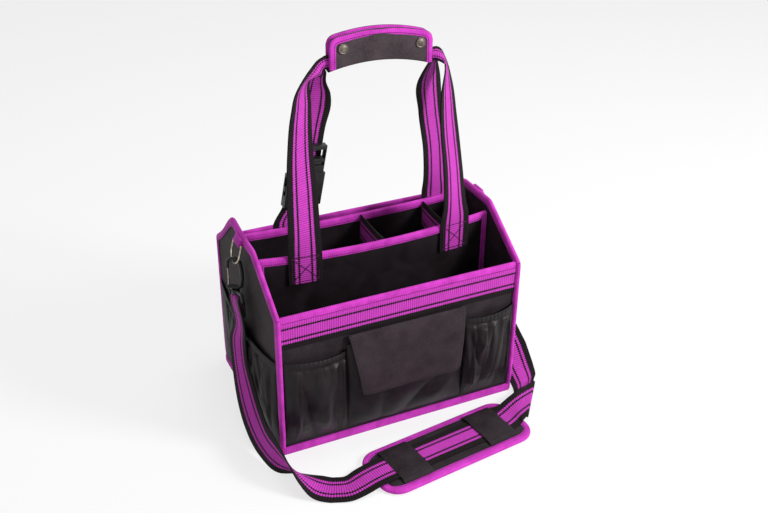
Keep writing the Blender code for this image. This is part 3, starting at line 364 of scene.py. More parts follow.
def stripedWebbing():
    # Ribbed polypropylene webbing. U is metres across it, V metres along it.
    material, tree, shader = newMaterial("stripedWebbing", 0.70, Specular_IOR_Level=0.06, Sheen_Weight=0.04)
    uv = addNode(tree, "UVMap").outputs["UV"]
    across = addNode(tree, "SeparateXYZ", links={0: uv}).outputs["X"]
    share = maths(tree, "MULTIPLY", across, 1 / webbing["width"])
    rib = ribs(tree, uv, "Y", stripeLook["rib"])
    between = stripeRamp(tree, share, stripeLook["thick"], stripeLook["play"])
    onRib = stripeRamp(tree, share, stripeLook["thin"], -stripeLook["play"])
    crest = maths(tree, "GREATER_THAN", rib, 0.55)
    weave = addNode(tree, "MixRGB", None, {"Fac": crest, "Color1": between, "Color2": onRib}).outputs[0]
    # The colour is darkened between the ribs and kept bright on them: painted shade of the ribs, under a
    # random mottle.
    level = maths(tree, "MULTIPLY_ADD", rib, 0.42, 0.56)
    level = maths(tree, "MULTIPLY_ADD", clouds(tree, 70.0, 3.0), 0.20, level)
    tone = addNode(tree, "MixRGB", {"blend_type": "MULTIPLY", "Fac": 1.0}, {"Color1": weave, "Color2": level})
    relief = maths(tree, "MULTIPLY_ADD", ribs(tree, uv, "X", stripeLook["wale"]), 0.3, rib)
    dressed(tree, shader, tone.outputs[0], relief, 0.6, 0.0007)
    return material


def sewingThread():
    # Bonded polyester thread: dark, in short stitches that sink between their ends.
    material, tree, shader = newMaterial("sewingThread", 0.6, Specular_IOR_Level=0.1)
    beat = ribs(tree, addNode(tree, "UVMap").outputs["UV"], "Y", 0.0036)
    dressed(tree, shader, toned(tree, beat, (0.25, "#0F0C0E"), (0.60, "#57234F")), beat, 0.5, 0.0004)
    return material


def mouldedAcetal():
    # Buckle plastic: near black, satin, with the faint orange peel of a moulding.
    material, tree, shader = newMaterial("mouldedAcetal", 0.38, Specular_IOR_Level=0.30)
    colour = toned(tree, clouds(tree, 90.0, 3.0), (0.3, "#1B1A1B"), (0.8, "#2B2A2B"))
    dressed(tree, shader, colour, clouds(tree, 1400.0), 0.15, 0.0002)
    return material


def wornNickel(name="wornNickel", dark="#8E8378", light="#CFC3B2", metallic=1.0, dull=0.46):
    # Plated steel, handled: warm grey, with small scratches and duller hollows.
    material, tree, shader = newMaterial(name, 0.32, metallic)
    dressed(tree, shader, toned(tree, clouds(tree, 180.0, 3.0), (0.35, dark), (0.75, light)))
    scratch = clouds(tree, 650.0, 3.0, stretch=(1.0, 1.0, 5.0))
    rough = addNode(tree, "MapRange", {"To Min": dull - 0.24, "To Max": dull}, {"Value": scratch})
    tree.links.new(rough.outputs["Result"], shader.inputs["Roughness"])
    return material


def blackLacquer():
    # Lacquered die casting: deep black with soft highlights, thin at the rubbed edges.
    material, tree, shader = newMaterial("blackLacquer", 0.34, Specular_IOR_Level=0.22)
    cloud = clouds(tree, 260.0, 4.0)
    colour = toned(tree, cloud, (0.35, "#131213"), (0.70, "#262425"), (0.84, "#56504B"))
    dressed(tree, shader, colour, cloud, 0.12, 0.0003)
    return material


def stiffBoard():
    # Polypropylene stiffener under the lining: matt, dark, faintly streaked by its rolling.
    material, tree, shader = newMaterial("stiffBoard", 0.7)
    streak = clouds(tree, 20.0, 4.0, stretch=(1.0, 14.0, 1.0))
    dressed(tree, shader, toned(tree, streak, (0.3, "#1E1B1C"), (0.8, "#2E2A2A")))
    return material


blackCloth = wovenPolyester()
nylon = pocketNylon()
endNylon = pocketNylon("endNylon", 0.03, 0.42)
# The grip's cloth is the black polyester painted lighter: painted light, standing for the lit top of the
# padded grip.
paintedLitGripCloth = wovenPolyester("gripPolyesterPaintedLit", "#2B2528", "#4C4347")
lining = liningCloth()
magenta = grosgrainTape()
stripes = stripedWebbing()
acetal = mouldedAcetal()
nickel = wornNickel()
capNickel = wornNickel("capNickel", "#5A514B", "#8A8079", 0.85, 0.60)
lacquer = blackLacquer()
boardLook = stiffBoard()
say("materials")


# The way that straps run

def splineThrough(points, spans, steps):
    # A smooth line through points, with the length of the way from each to the next.
    chords = [(b - a) / span for a, b, span in zip(points, points[1:], spans)]
    slopes = [chords[0]]
    for before, after, reach, room in zip(chords, chords[1:], spans, spans[1:]):
        slopes.append((before * room + after * reach) / (reach + room))
    slopes.append(chords[-1])
    result = []
    for i, span in enumerate(spans):
        a, b = points[i], points[i + 1]
        p, q = slopes[i] * span, slopes[i + 1] * span
        for k in range(steps):
            t = k / steps
            result.append(a * (2 * t ** 3 - 3 * t ** 2 + 1) + p * (t ** 3 - 2 * t ** 2 + t)
                          + b * (3 * t ** 2 - 2 * t ** 3) + q * (t ** 3 - t ** 2))
    result.append(points[-1].copy())
    return result


def strapRun(stations, steps=10):
    # Stations are the middle of a strap and the vector from there to one of its edges.
    middles = [Vector(middle) for middle, edge in stations]
    edges = [Vector(edge) for middle, edge in stations]
    spans = [(b - a).length for a, b in zip(middles, middles[1:])]
    return list(zip(splineThrough(middles, spans, steps), splineThrough(edges, spans, steps)))


def ribbon(run, thick=None, columns=10, fullWidth=None):
    # A woven strap along a run. Its stripes follow the real width where it is folded or gathered.
    thick = thick or webbing["thick"]
    fullWidth = fullWidth or webbing["width"]
    lengths = [0.0]
    for (a, _), (b, _) in zip(run, run[1:]):
        lengths.append(lengths[-1] + (b - a).length)
    last = len(run) - 1

    def place(u, t):
        i = round(t * last)
        middle, edge = run[i]
        return middle + edge * (2 * u - 1)

    def measure(u, t):
        return (u * fullWidth, lengths[round(t * last)])

    return clothGrid(columns, last, place, measure, thick=thick, offset=0.0, bevel=thick * 0.3)


def finishStrap(piece, name, body, *nodes):
    return finishPiece(piece, name, body, stripes, nodes)


def bowed(spot, reach=tote["bow"]):
    # The dividers lean forwards, and dip, at the middle of their length.
    share = 1.0 - (spot.x / endInside) ** 2
    drop = tote["sag"] * share * spot.z / tote["dividerTop"]
    return at(spot.x, spot.y - reach * share, spot.z - drop)


def bowSlope(x, reach):
    return math.degrees(math.atan(2 * reach * x / endInside ** 2))


# Body panels

def panelPiece(name, node, columns, rows, place, size, material=None):
    # A stiffened cloth panel. Place gives its outer face.
    piece = clothGrid(columns, rows, place, lambda u, t: (u * size[0], t * size[1]),
                      thick=tote["board"], bevel=0.0006)
    return finishPiece(piece, name, "tote", material or blackCloth, [node])


def buildWalls():
    top = tote["wallHeight"] - rim
    for name, side in walls:
        def place(u, t, side=side):
            x = (2 * u - 1) * endInside * -side
            z = panelFoot + (top - panelFoot) * t
            return at(x, side * (wallFace + waver(x, side, z, 0.06, tote["uneven"])), z)

        panelPiece(name + "Wall", name + "_wall", 24, 14, place, (2 * endInside, top - panelFoot))


def endTop(y, inset):
    # Height of an end panel's outline at a depth, drawn in by an inset.
    corner, shoulder = tote["halfDepth"], tote["dividerY"]
    rise = tote["shoulder"] - tote["wallHeight"]
    slope = math.atan2(rise, corner - shoulder)
    if abs(y) <= shoulder - inset * math.tan(slope / 2):
        return tote["shoulder"] - inset
    return tote["wallHeight"] + rise * (corner - abs(y)) / (corner - shoulder) - inset / math.cos(slope)


drawnUp = {"from": 0.12, "middle": 0.052, "spread": 0.042, "back": 0.007, "up": 0.010}


def lifted(spot):
    # The left end panel is drawn up and back at its back shoulder.
    if spot.x > -endInside:
        return spot
    height = clamp((spot.z - drawnUp["from"]) / (tote["shoulder"] - drawnUp["from"]))
    share = math.exp(-((spot.y - drawnUp["middle"]) / drawnUp["spread"]) ** 2) * height ** 2
    return spot + at(0.0, drawnUp["back"], drawnUp["up"]) * share


def buildEnds():
    edge = tote["halfDepth"] - rim
    kinks = [-edge, -tote["dividerY"], tote["dividerY"], edge]
    for name, side in ends:
        def place(u, t, side=side):
            share = u * 3
            k = min(int(share), 2)
            y = side * (kinks[k] + (kinks[k + 1] - kinks[k]) * (share - k))
            z = panelFoot + (endTop(y, rim) - panelFoot) * t
            y *= 1 - tote["finIn"] * max(0.0, 1 - z / tote["finFoot"])
            return lifted(at(side * (endFace + waver(side, y, z, 0.07, tote["uneven"])), y, z))

        panelPiece(name + "End", name + "_end_panel", 30, 16, place, (2 * edge, 0.29))


def buildDividers():
    reach = endInside - tote["gap"]
    foot, top = tote["dividerFoot"], tote["dividerTop"] - rim
    for name, middle, lean in dividers:
        def place(u, t, middle=middle, lean=lean):
            x = (2 * u - 1) * reach
            z = foot + (top - foot) * t
            y = middle - tote["board"] / 2 + waver(x, middle, z, 0.05, tote["uneven"])
            return bowed(at(x, y, z), lean)

        panelPiece(name + "Divider", name + "_divider", 28, 12, place, (2 * reach, top - foot),
                   lining)


def buildFloor():
    def place(u, t):
        x, y = (2 * u - 1) * endFace, (2 * t - 1) * wallFace
        return at(x, y, tote["board"] + waver(x, y, 0, 0.05, tote["uneven"] / 2) - tote["uneven"])

    panelPiece("basePanel", "base_panel", 20, 14, place, (2 * endFace, 2 * wallFace))
    dressNode("base_board", boardLook)


# Binding tape folded over the edges

tapes = {
    "foot": 0.0040, "footIn": 0.0045, "upright": 0.026, "corner": 0.007, "dividerCorner": 0.005,
    "dividerFoot": 0.0075, "puff": 0.0003, "ripple": 0.00025, "rippleSize": 0.022,
    "baseWidth": 0.0152, "baseTurn": 0.0021, "baseHeight": 0.0110, "baseCorner": 0.004,
    "baseThick": 0.0009,
}


def softCorners(points, radius, steps=5):
    # Rounds the corners of a line of points.
    points = [Vector(point) for point in points]
    result = [points[0]]
    for before, here, after in zip(points, points[1:], points[2:]):
        back, ahead = before - here, after - here
        reach = min(radius, back.length * 0.45, ahead.length * 0.45)
        start, end = here + back.normalized() * reach, here + ahead.normalized() * reach
        for k in range(steps + 1):
            t = k / steps
            result.append(start * (1 - t) ** 2 + here * 2 * t * (1 - t) + end * t ** 2)
    return result + [points[-1]]


def evenly(points, step, closed=False):
    # Points a step apart along a line, and its length.
    line = points + [points[0]] if closed else points
    lengths = [0.0]
    for a, b in zip(line, line[1:]):
        lengths.append(lengths[-1] + (b - a).length)
    count = max(2, round(lengths[-1] / step))
    result, i = [], 0
    for k in range(count + 1):
        want = lengths[-1] * k / count
        while i < len(line) - 2 and lengths[i + 1] < want:
            i += 1
        span = max(lengths[i + 1] - lengths[i], 1e-9)
        result.append(line[i].lerp(line[i + 1], min(1.0, (want - lengths[i]) / span)))
    return result, lengths[-1]


def foldSection(u, half, width):
    # Section of tape folded over an edge: across and inward, from one lip over to the other.
    leg = width - half
    arc = math.pi * half
    total = 2 * leg + arc
    s = u * total
    puff = tapes["puff"]
    if s < leg:
        return -half - puff * math.sin(math.pi * s / leg), width - s, s
    if s > leg + arc:
        rest = total - s
        return half + puff * math.sin(math.pi * rest / leg), width - rest, rest
    a = (s - leg) / half
    return -half * math.cos(a), half - half * math.sin(a), s


def edgeTape(name, node, line, across, half, body="tote", width=None, closed=False, step=0.004,
             bend=None, turned=1.0, replaced=None):
    # Tape folded over the edge that the line follows. Across is the panel's own direction.
    width = width or tote["tape"]
    points, length = evenly(line, step, closed)
    last = len(points) - 1
    across = Vector(across)
    frames = []
    for i, point in enumerate(points):
        if closed:
            ahead = points[(i + 1) % last] - points[(i - 1) % last]
        else:
            ahead = points[min(i + 1, last)] - points[max(i - 1, 0)]
        frames.append((point, ahead.normalized().cross(across) * turned))

    def place(u, t):
        i = round(t * last)
        point, inward = frames[i]
        side, depth, _ = foldSection(u if turned > 0 else 1 - u, half, width)
        ripple = waver(point.x + u, point.y, point.z, tapes["rippleSize"], tapes["ripple"])
        spot = point + across * (side * (1 + ripple * 60)) + inward * (depth * (1 + ripple * 90))
        return bend(spot) if bend else spot

    def measure(u, t):
        return (foldSection(u, half, width)[2], t * length)

    piece = clothGrid(18, last, place, measure, thick=tote["tapeThick"], offset=-1.0)
    if closed:
        cleanMesh(piece)
        smoothByAngle(piece, 60)
    return finishPiece(piece, name, body, magenta,
                       [node] if replaced is None else replaced)


def buildTapes():
    low, front, back = tapes["foot"], -tote["halfDepth"], tote["halfDepth"]
    for name, side in ends:
        x = side * (endFace - tote["board"] / 2)
        outline = [(front + tapes["footIn"], low), (front, tapes["upright"]), (front, tote["wallHeight"]),
                   (-tote["dividerY"], tote["shoulder"]), (tote["dividerY"], tote["shoulder"]),
                   (back, tote["wallHeight"]), (back, tapes["upright"]), (back - tapes["footIn"], low)]
        edgeTape(name + "EndTape", name + "_end_binding",
                 softCorners([(x, y, z) for y, z in outline], tapes["corner"]), (side, 0, 0), dividerSkin,
                 turned=float(side), bend=lifted)
    for name, side in walls:
        line = [at(x, side * (wallFace - tote["board"] / 2), tote["wallHeight"])
                for x in (-endInside, endInside)]
        edgeTape(name + "TopTape", name + "_top_binding", line, (0, -1, 0), dividerSkin)
    edge = endInside - tote["gap"] + rim
    low, top = tapes["dividerFoot"], tote["dividerTop"]
    for name, y, lean in dividers:
        corners = [(-edge, y, low), (-edge, y, top), (edge, y, top), (edge, y, low)]
        edgeTape(name + "DividerTape", name + "_divider_binding",
                 softCorners(corners, tapes["dividerCorner"]), (0, -1, 0), dividerSkin,
                 bend=lambda spot, lean=lean: bowed(spot, lean))


def buildBaseTape():
    # A flat tape sewn round the foot of the walls.
    outX, outY = tote["halfWidth"], wallFace + tote["gap"] + 2 * tote["tapeThick"]
    corners = []
    radius = tapes["baseCorner"]
    for sx, sy, start in ((1, -1, -90), (1, 1, 0), (-1, 1, 90), (-1, -1, 180)):
        for k in range(6):
            a = math.radians(start + 18 * k)
            corners.append(at(sx * (outX - radius) + radius * math.cos(a),
                                   sy * (outY - radius) + radius * math.sin(a), 0.0))
    points, length = evenly(corners, 0.005, closed=True)
    last = len(points) - 1
    turn, tall = tapes["baseTurn"], tapes["baseHeight"]

    def place(u, t):
        i = round(t * last) % last
        ahead = (points[(i + 1) % last] - points[(i - 1) % last]).normalized()
        out = at(ahead.y, -ahead.x, 0.0)
        s = u * tapes["baseWidth"]
        height = min(max(s - turn, 0.0), tall)
        swell = tapes["puff"] * math.sin(math.pi * height / tall)
        turned = turn - min(s, turn) + max(0.0, s - turn - tall)
        return points[i] + out * (swell - turned) + at(0, 0, 0.0004 + height)

    piece = clothGrid(12, last, place, lambda u, t: (u * tapes["baseWidth"], t * length),
                      thick=tapes["baseThick"])
    cleanMesh(piece)
    smoothByAngle(piece, 60)
    finishPiece(piece, "baseTape", "tote", magenta, ["base_binding"])


# Seated is the share of a band's height where it starts to leave the wall, so as to lie on its tape.
bands = {"underTape": 0.002, "seated": 0.60, "rising": 0.35, "rise": 0.0012, "thick": 0.0011}


def buildBands():
    # Striped webbing sewn to the walls below their tape, which covers its top black edge.
    low, high = bandFoot, tote["wallHeight"] - tote["tape"] + bands["underTape"]
    shown = high - low
    for name, side in walls:
        def place(u, t, side=side):
            x, z = (2 * t - 1) * endInside, low + shown * u
            over = bands["rise"] * clamp((u - bands["seated"]) / bands["rising"])
            y = side * (wallFace + tote["gap"] + 0.0002 + over + waver(x, side, z, 0.03, 0.0001))
            return at(x * -side, y, z)

        piece = clothGrid(20, 120, place, lambda u, t: (min(u * shown, 0.0395), t * 2 * endInside),
                          thick=bands["thick"])
        finishStrap(piece, name + "Band", "tote", name + "_band")


crossStraps = {"left": 0.008, "right": 0.115, "dip": 0.006, "sway": 0.0015, "turn": 0.002}


def buildCrossStraps():
    # Straps on edge from the front divider to the back one.
    top = tote["dividerTop"] - tote["sag"] - tote["gap"] - webbing["width"] / 2
    skin = dividerSkin + tote["gap"]
    for name in ("left", "right"):
        x = crossStraps[name]
        frontY, backY = (bowed(at(x, y, tote["dividerTop"]), lean).y for side, y, lean in dividers)
        frontY, backY = frontY + skin, backY - skin
        stations = []
        for share in (0.0, 0.25, 0.5, 0.75, 1.0):
            slack = math.sin(math.pi * share)
            stations.append(((x + crossStraps["sway"] * slack, frontY + (backY - frontY) * share,
                              top - crossStraps["dip"] * slack),
                             (crossStraps["turn"] * slack, 0, webbing["width"] / 2)))
        finishStrap(ribbon(strapRun(stations, 8)), name + "CrossStrap", "tote", name + "_cross_strap")


buildWalls()
buildEnds()
buildDividers()
buildFloor()
say("panels")
buildTapes()
buildBaseTape()
buildBands()
buildCrossStraps()
say("tapes and bands")


# Pockets

pockets = {
    "foot": 0.018, "leftEdge": -0.088, "rightEdge": 0.101, "cloth": 0.0015, "fullness": 0.013,
    "leftTop": 0.163, "rightTop": 0.162, "dip": 0.004, "centreTop": 0.166, "hem": 0.0105,
    "ease": 1.16, "flapHeight": 0.097, "flapThick": 0.0020, "flapStand": 0.020, "flapTop": 0.188,
    "flapFoot": 0.158, "flapCorner": 0.006, "endTop": 0.160, "endDip": 0.018, "endFullness": 0.0058,
    "endGather": 0.42,
}
# Each size of gathers: how far it stands out, its width, its length and its slant. The rest is how far
# below the hem each fades or begins.
gathers = {"fine": (0.0020, 0.010, 0.05, 0.0), "middle": (0.0085, 0.020, 0.12, 0.15),
           "broad": (0.0110, 0.036, 0.16, -0.10), "fineFade": 0.018, "middleFade": 0.070,
           "start": 0.006, "broadStart": 0.03}
clothBase = wallFace + tote["gap"] + pockets["cloth"]
thinCloth = pockets["cloth"] * 0.9


def humpOf(u, power=0.7):
    return max(math.sin(math.pi * clamp(u)), 0.0) ** power


def mouthLine(u, left, dip, right):
    return left + (right - left) * u - 4 * dip * u * (1 - u)


def ridge(u, centre, width):
    return math.exp(-((u - centre) / width) ** 2)


def pleat(x, z, width, length, seed):
    # Cloth gathered into soft rolls between sharp valleys, nought in a valley and about one on a roll.
    return min(1.0, 2.0 * abs(noise.noise(at(x / width, z / length, seed))))


def gathered(x, below, room, seed, strength=1.0):
    # How far cloth stands out, some way below an elastic hem that gathers it.
    rolls = {}
    for size, offset in (("fine", 0), ("middle", 5), ("broad", 9)):
        high, width, length, slant = gathers[size]
        rolls[size] = high * pleat(x + slant * below, below, width, length, seed + offset)
    start = min(1.0, below / gathers["start"])
    fine = rolls["fine"] * math.exp(-below / gathers["fineFade"]) * start
    middle = rolls["middle"] * math.exp(-below / gathers["middleFade"]) * start
    broad = rolls["broad"] * min(1.0, below / gathers["broadStart"])
    return (fine + middle + broad) * room * strength


def sidePocket(node, name, left, right, topLeft, topRight, seed):
    def place(u, t):
        x = left + (right - left) * u
        top = mouthLine(u, topLeft, pockets["dip"], topRight)
        z = pockets["foot"] + (top - pockets["foot"]) * t
        full = pockets["fullness"] * humpOf(u, 0.55) * math.sin(math.pi * min(0.5, 0.12 + t * 0.42))
        full *= min(1.0, t * 4.0) * (1.0 - 0.25 * t)
        room = humpOf(u, 0.5) * min(1.0, t * 6.0)
        below = top - pockets["hem"] - z
        if below > 0:
            full += gathered(x, below, room, seed) - 0.0012 * room
            full += 0.0055 * (ridge(u, 0.17, 0.030) + ridge(u, 0.92, 0.022)) * min(1.0, below / 0.02) * room
            full -= 0.0008 * math.exp(-below / 0.003) * room
        else:
            share = -below / pockets["hem"]
            full += (0.0016 * humpOf(share, 0.6) - 0.0014 + 0.0003 * math.sin(x * 900 + seed)) * room
        return at(x, -clothBase - max(full, 0.0) - 0.0001, z)

    width, height = right - left, topLeft - pockets["foot"]
    piece = clothGrid(110, 70, place, lambda u, t: (u * width * 1.15, t * height), thick=thinCloth)
    finishPiece(piece, name, "tote", nylon, [node])
    cutCloth(piece, width * pockets["ease"], height)


def flapRise(share):
    return math.sin(math.pi / 2 * clamp(share)) ** 0.8


def buildFrontPockets():
    gap = 2 * tote["gap"]
    edge = endInside - tote["gap"]
    sidePocket("left_front_pocket", "leftPocket", -edge, pockets["leftEdge"] - gap,
               pockets["leftTop"], pockets["leftTop"] - 0.005, 3.0)
    sidePocket("right_front_pocket", "rightPocket", pockets["rightEdge"] + gap, edge,
               pockets["rightTop"] - 0.002, pockets["rightTop"] + 0.003, 17.0)
    flapTop = bandFoot - tote["gap"]
    flapFoot = flapTop - pockets["flapHeight"]
    left, right = pockets["leftEdge"], pockets["rightEdge"]

    def centrePlace(u, t):
        x = left + (right - left) * u
        z = pockets["foot"] + (pockets["centreTop"] - pockets["foot"]) * t
        stand = pockets["flapStand"] * flapRise((flapTop - z) / pockets["flapHeight"]) - gap
        if z < flapFoot:
            low = (z - pockets["foot"]) / (flapFoot - pockets["foot"])
            stand = (pockets["flapStand"] - gap) * math.sin(math.pi / 2 * low) ** 0.6
            slant = (u - 0.5) * 2
            fold = pleat(x - slant * z * 0.9, z + abs(slant) * 0.05, 0.038, 0.12, 31.0)
            stand += (0.0070 * fold - 0.0045) * humpOf(low, 0.6)
        stand = max(stand, 0.0) * humpOf(u, 0.6) - 0.0002
        return at(x, -clothBase - max(stand, 0.0), z)

    piece = clothGrid(96, 70, centrePlace, lambda u, t: (u * 0.2, t * 0.16), thick=thinCloth)
    finishPiece(piece, "centrePocket", "tote", nylon, ["centre_front_pocket"])
    cutCloth(piece, 0.200, 0.148)
    middle = (left + right) / 2
    corner = pockets["flapCorner"]

    def flapPlace(u, t):
        across = u - 0.5
        width = pockets["flapTop"] + (pockets["flapFoot"] - pockets["flapTop"]) * t
        gone = max(0.0, corner - (1 - t) * pockets["flapHeight"])
        width -= 2 * (corner - math.sqrt(max(corner ** 2 - gone ** 2, 0.0)))
        x = middle + across * width
        z = flapTop - pockets["flapHeight"] * t
        z += 0.0014 * math.sin(math.pi * u) * t
        lift = pockets["flapStand"] * flapRise(t) + waver(x, 1.0, z, 0.05, 0.0012) * t
        curl = 0.0012 * ridge(abs(across) * 2, 1.0, 0.10) * t
        return at(x, -clothBase - pockets["flapThick"] - tote["gap"] - lift + curl, z)

    flapSize = (0.175, pockets["flapHeight"])
    flap = clothGrid(48, 30, flapPlace, lambda u, t: (u * flapSize[0], t * flapSize[1]),
                     thick=pockets["flapThick"] * 0.9, bevel=0.0005)
    flapCloth = wovenPolyester("flapPolyester", "#221C1F", "#393035", flapSize)
    finishPiece(flap, "pocketFlap", "front_flap", flapCloth, ["pocket_flap"])
    cutCloth(flap, 0.175, 0.101)
    cleanMesh(flap, merge=0)


def buildEndPockets():
    base = endFace + tote["gap"] + pockets["cloth"]
    edge = tote["halfDepth"] - tote["tape"] - 2 * tote["gap"]
    foot = tote["tape"] + 0.003
    for name, side in ends:
        def place(u, t, side=side):
            y = (-edge + 2 * edge * u) * side
            top = mouthLine(u, pockets["endTop"], pockets["endDip"], pockets["endTop"])
            z = foot + (top - foot) * t
            full = pockets["endFullness"] * humpOf(u) * min(1.0, t * 3.0)
            room = humpOf(u, 0.5) * min(1.0, t * 5.0)
            below = top - pockets["hem"] - z
            if below > 0:
                full += gathered(y, below, room, 50.0 + side, pockets["endGather"]) - 0.0010 * room
            else:
                full += (0.0012 * humpOf(-below / pockets["hem"], 0.6) - 0.0006) * room
            return at(side * (base + max(full, 0.0)), y, z)

        piece = clothGrid(100, 50, place, lambda u, t: (u * 0.25, t * 0.146), thick=thinCloth)
        finishPiece(piece, name + "EndPocket", "tote", endNylon, [name + "_end_pocket"])
        cutCloth(piece, 0.250, 0.138)


buildFrontPockets()
buildEndPockets()
say("pockets")


# Carry handle

handle = {
    "rise": 0.268, "spacing": 0.230, "sewn": 0.047, "flex": 0.052, "wrapLength": 0.157,
    "wrapShift": 0.022, "wrapHeight": 0.047, "arch": 0.0115, "tilt": 0.009, "cloth": 0.005,
    "cavity": 0.006, "fold": 0.0040, "layer": 0.0014, "folded": 0.019, "edgeTape": 0.0095,
}
handleBase = tote["dividerTop"]
wrapSink = (handle["wrapHeight"] - handle["folded"]) / 2 - handle["fold"] - 2 * tote["gap"]


def wrapLine(x):
    share = (x - handle["wrapShift"]) / (handle["wrapLength"] / 2)
    level = handleBase + handle["rise"]
    return level + handle["arch"] * (1.0 - share * share) - handle["tilt"] * 0.5 * (share + 1.0)


def sewnFoot(x, front):
    # How far from the middle of the tote a leg's foot is sewn, and how its divider turns there.
    side, middle, bow = (-1, -frontDivider, tote["bow"]) if front else (1, tote["dividerY"], tote["backBow"])
    skin = dividerSkin + 2 * tote["gap"] + webbing["thick"] / 2
    return side * bowed(at(x, middle + side * skin, handleBase), bow).y, bowSlope(x, bow)


# Shares are places up a leg, from its foot to the grip. A leg has its sideways drift and its turn in
# degrees at each, then how far it has left its divider at the fourth and fifth, and its depth at the
# last three.
legs = {
    "shares": [0.0, 0.0, 0.025, 0.10, 0.30, 0.58, 0.77, 0.88], "pinched": 0.46,
    "frontLeft": ([-0.002, -0.002, -0.002, -0.002, -0.001, 0.003, 0.010, 0.018],
                  [0, 0, 2, 4, 12, 27, 37, 48], [0.0005, 0.006, 0.032, 0.022, 0.013]),
    "frontRight": ([0.009, 0.009, 0.009, 0.008, 0.006, 0.002, 0.002, 0.003],
                   [0, 0, 2, 20, 30, 35, 46, 62], [0.0005, 0.006, 0.032, 0.022, 0.013]),
    "backRight": ([0.027, 0.027, 0.027, 0.0255, 0.0195, 0.003, -0.006, -0.004],
                  [0, 0, 0, 12, 19, 20, 24, 34], [0.001, 0.006, 0.028, 0.018, 0.010]),
}


def legStations(side, front):
    # Middle of one leg and the vector to its edge, from its sewn foot up to the grip.
    drift, turn, depths = legs[("front" if front else "back") + ("Left" if side < 0 else "Right")]
    x = side * handle["spacing"] / 2
    footY, slope = sewnFoot(x + drift[0], front)
    depths = [footY, footY, footY, footY - depths[0], footY - depths[1], *depths[2:]]
    turn = [slope + angle for angle in turn[:3]] + turn[3:]
    stations = []
    for i, share in enumerate(legs["shares"]):
        z = handleBase - handle["sewn"] if i == 0 else handleBase + handle["rise"] * share
        angle = math.radians(turn[i])
        half = webbing["width"] / 2 * (legs["pinched"] if i == 7 and not front else 1.0)
        stations.append((at(x + drift[i], -depths[i] if front else depths[i], z),
                         at(math.cos(angle), math.sin(angle), 0.0) * half))
    return stations


def wrapEntry(end, outward, y, steps):
    stations = []
    for out, drop, depth, edge in steps:
        spot = at(end + outward * out, y + depth, wrapLine(end) - wrapSink - drop)
        stations.append((spot, at(outward * edge[0], edge[1], edge[2])))
    return stations


def buckleAxes():
    up = at(0.0126, -0.011, 0.095).normalized()
    out = at(0.10, -0.99, 0.0).normalized()
    out = (out - up * out.dot(up)).normalized()
    across = up.cross(out).normalized()
    base = at(-0.0855, tote["dividerY"] + 0.004, handleBase + 0.028)
    return base, across, up, out


buckle = {"socket": 0.054, "plug": 0.044, "travel": 0.026, "thick": 0.012}
strapBack = buckle["thick"] / 2 + tote["gap"] + webbing["thick"] / 2


def buckleStrapRun(firstMiddle, leftX, y):
    base, across, up, out = buckleAxes()
    half = across * (webbing["width"] / 2)
    back = -out * strapBack
    low = base + up * (buckle["socket"] + 0.016) + back
    high = base + up * (buckle["socket"] + buckle["plug"] + buckle["travel"]) + back
    entry = wrapLine(leftX) - wrapSink
    rise = entry - high.z
    stations = [(low, half), (high, half)]
    for share, x, depth, width, turn in ((0.32, -0.011, 0.72, 1.00, -12), (0.56, -0.010, 0.48, 0.80, -20),
                                         (0.76, -0.011, 0.26, 0.50, -25), (0.89, -0.009, 0.09, 0.36, -24)):
        angle = math.radians(turn)
        edge = at(math.cos(angle), math.sin(angle), -0.6 * (1 - width)).normalized()
        stations.append((at(leftX + x, high.y * depth + y, high.z + rise * share),
                         edge * (webbing["width"] / 2 * width)))
    last = at(leftX - 0.0030, y + 0.0004, entry - 0.0006)
    stations.append((last, at(0.0005, -0.0003, -0.0093)))
    return strapRun(stations + [firstMiddle])


def buildHandleStraps():
    inner = handle["wrapLength"] / 2
    leftX, rightX = handle["wrapShift"] - inner, handle["wrapShift"] + inner
    bendZone = (at(0, 0, handleBase), at(0, 0, handleBase + handle["flex"]))
    for name, front in (("front", True), ("back", False)):
        y = -handle["layer"] if front else handle["layer"]
        half = at(0.0, 0.0, -handle["folded"] / 2)
        middle = []
        for share in (-1.01, -0.93, -0.4, 0.4, 0.93, 1.01):
            x = handle["wrapShift"] + share * inner
            middle.append((at(x, y, wrapLine(x) - wrapSink), half))
        right = [(spot, -edge) for spot, edge in legStations(1, front)]
        right.reverse()
        if front:
            folds = [(0.009, 0.001, -0.001, (-0.001, -0.0050, -0.0090)),
                     (0.017, 0.006, -0.006, (-0.003, -0.0120, -0.0070))]
            leftFolds = [(0.005, 0.000, -0.0004, (-0.001, 0.0010, -0.0094)),
                         (0.011, 0.002, -0.002, (-0.005, 0.0035, -0.0095)),
                         (0.019, 0.008, -0.007, (-0.011, 0.0085, -0.0095))]
            entry = wrapEntry(leftX, -1, y, leftFolds)
            start = strapRun(legStations(-1, True) + list(reversed(entry)) + middle[:1])
            nodes = ["front_left_leg", "front_handle_strap", "front_right_leg"]
        else:
            folds = [(0.004, 0.002, 0.0005, (-0.002, -0.0010, -0.0088)),
                     (0.008, 0.007, 0.0030, (-0.007, -0.0030, -0.0055))]
            start = buckleStrapRun(middle[0], leftX, y)
            nodes = ["back_handle_strap", "back_right_leg"]
        rightRun = strapRun(middle[-1:] + wrapEntry(rightX, 1, y, folds) + right)
        run = start[:-1] + strapRun(middle, 6) + rightRun[1:]
        finishStrap(ribbon(run), name + "HandleStrap", ("tote", "handle", *bendZone), *nodes)


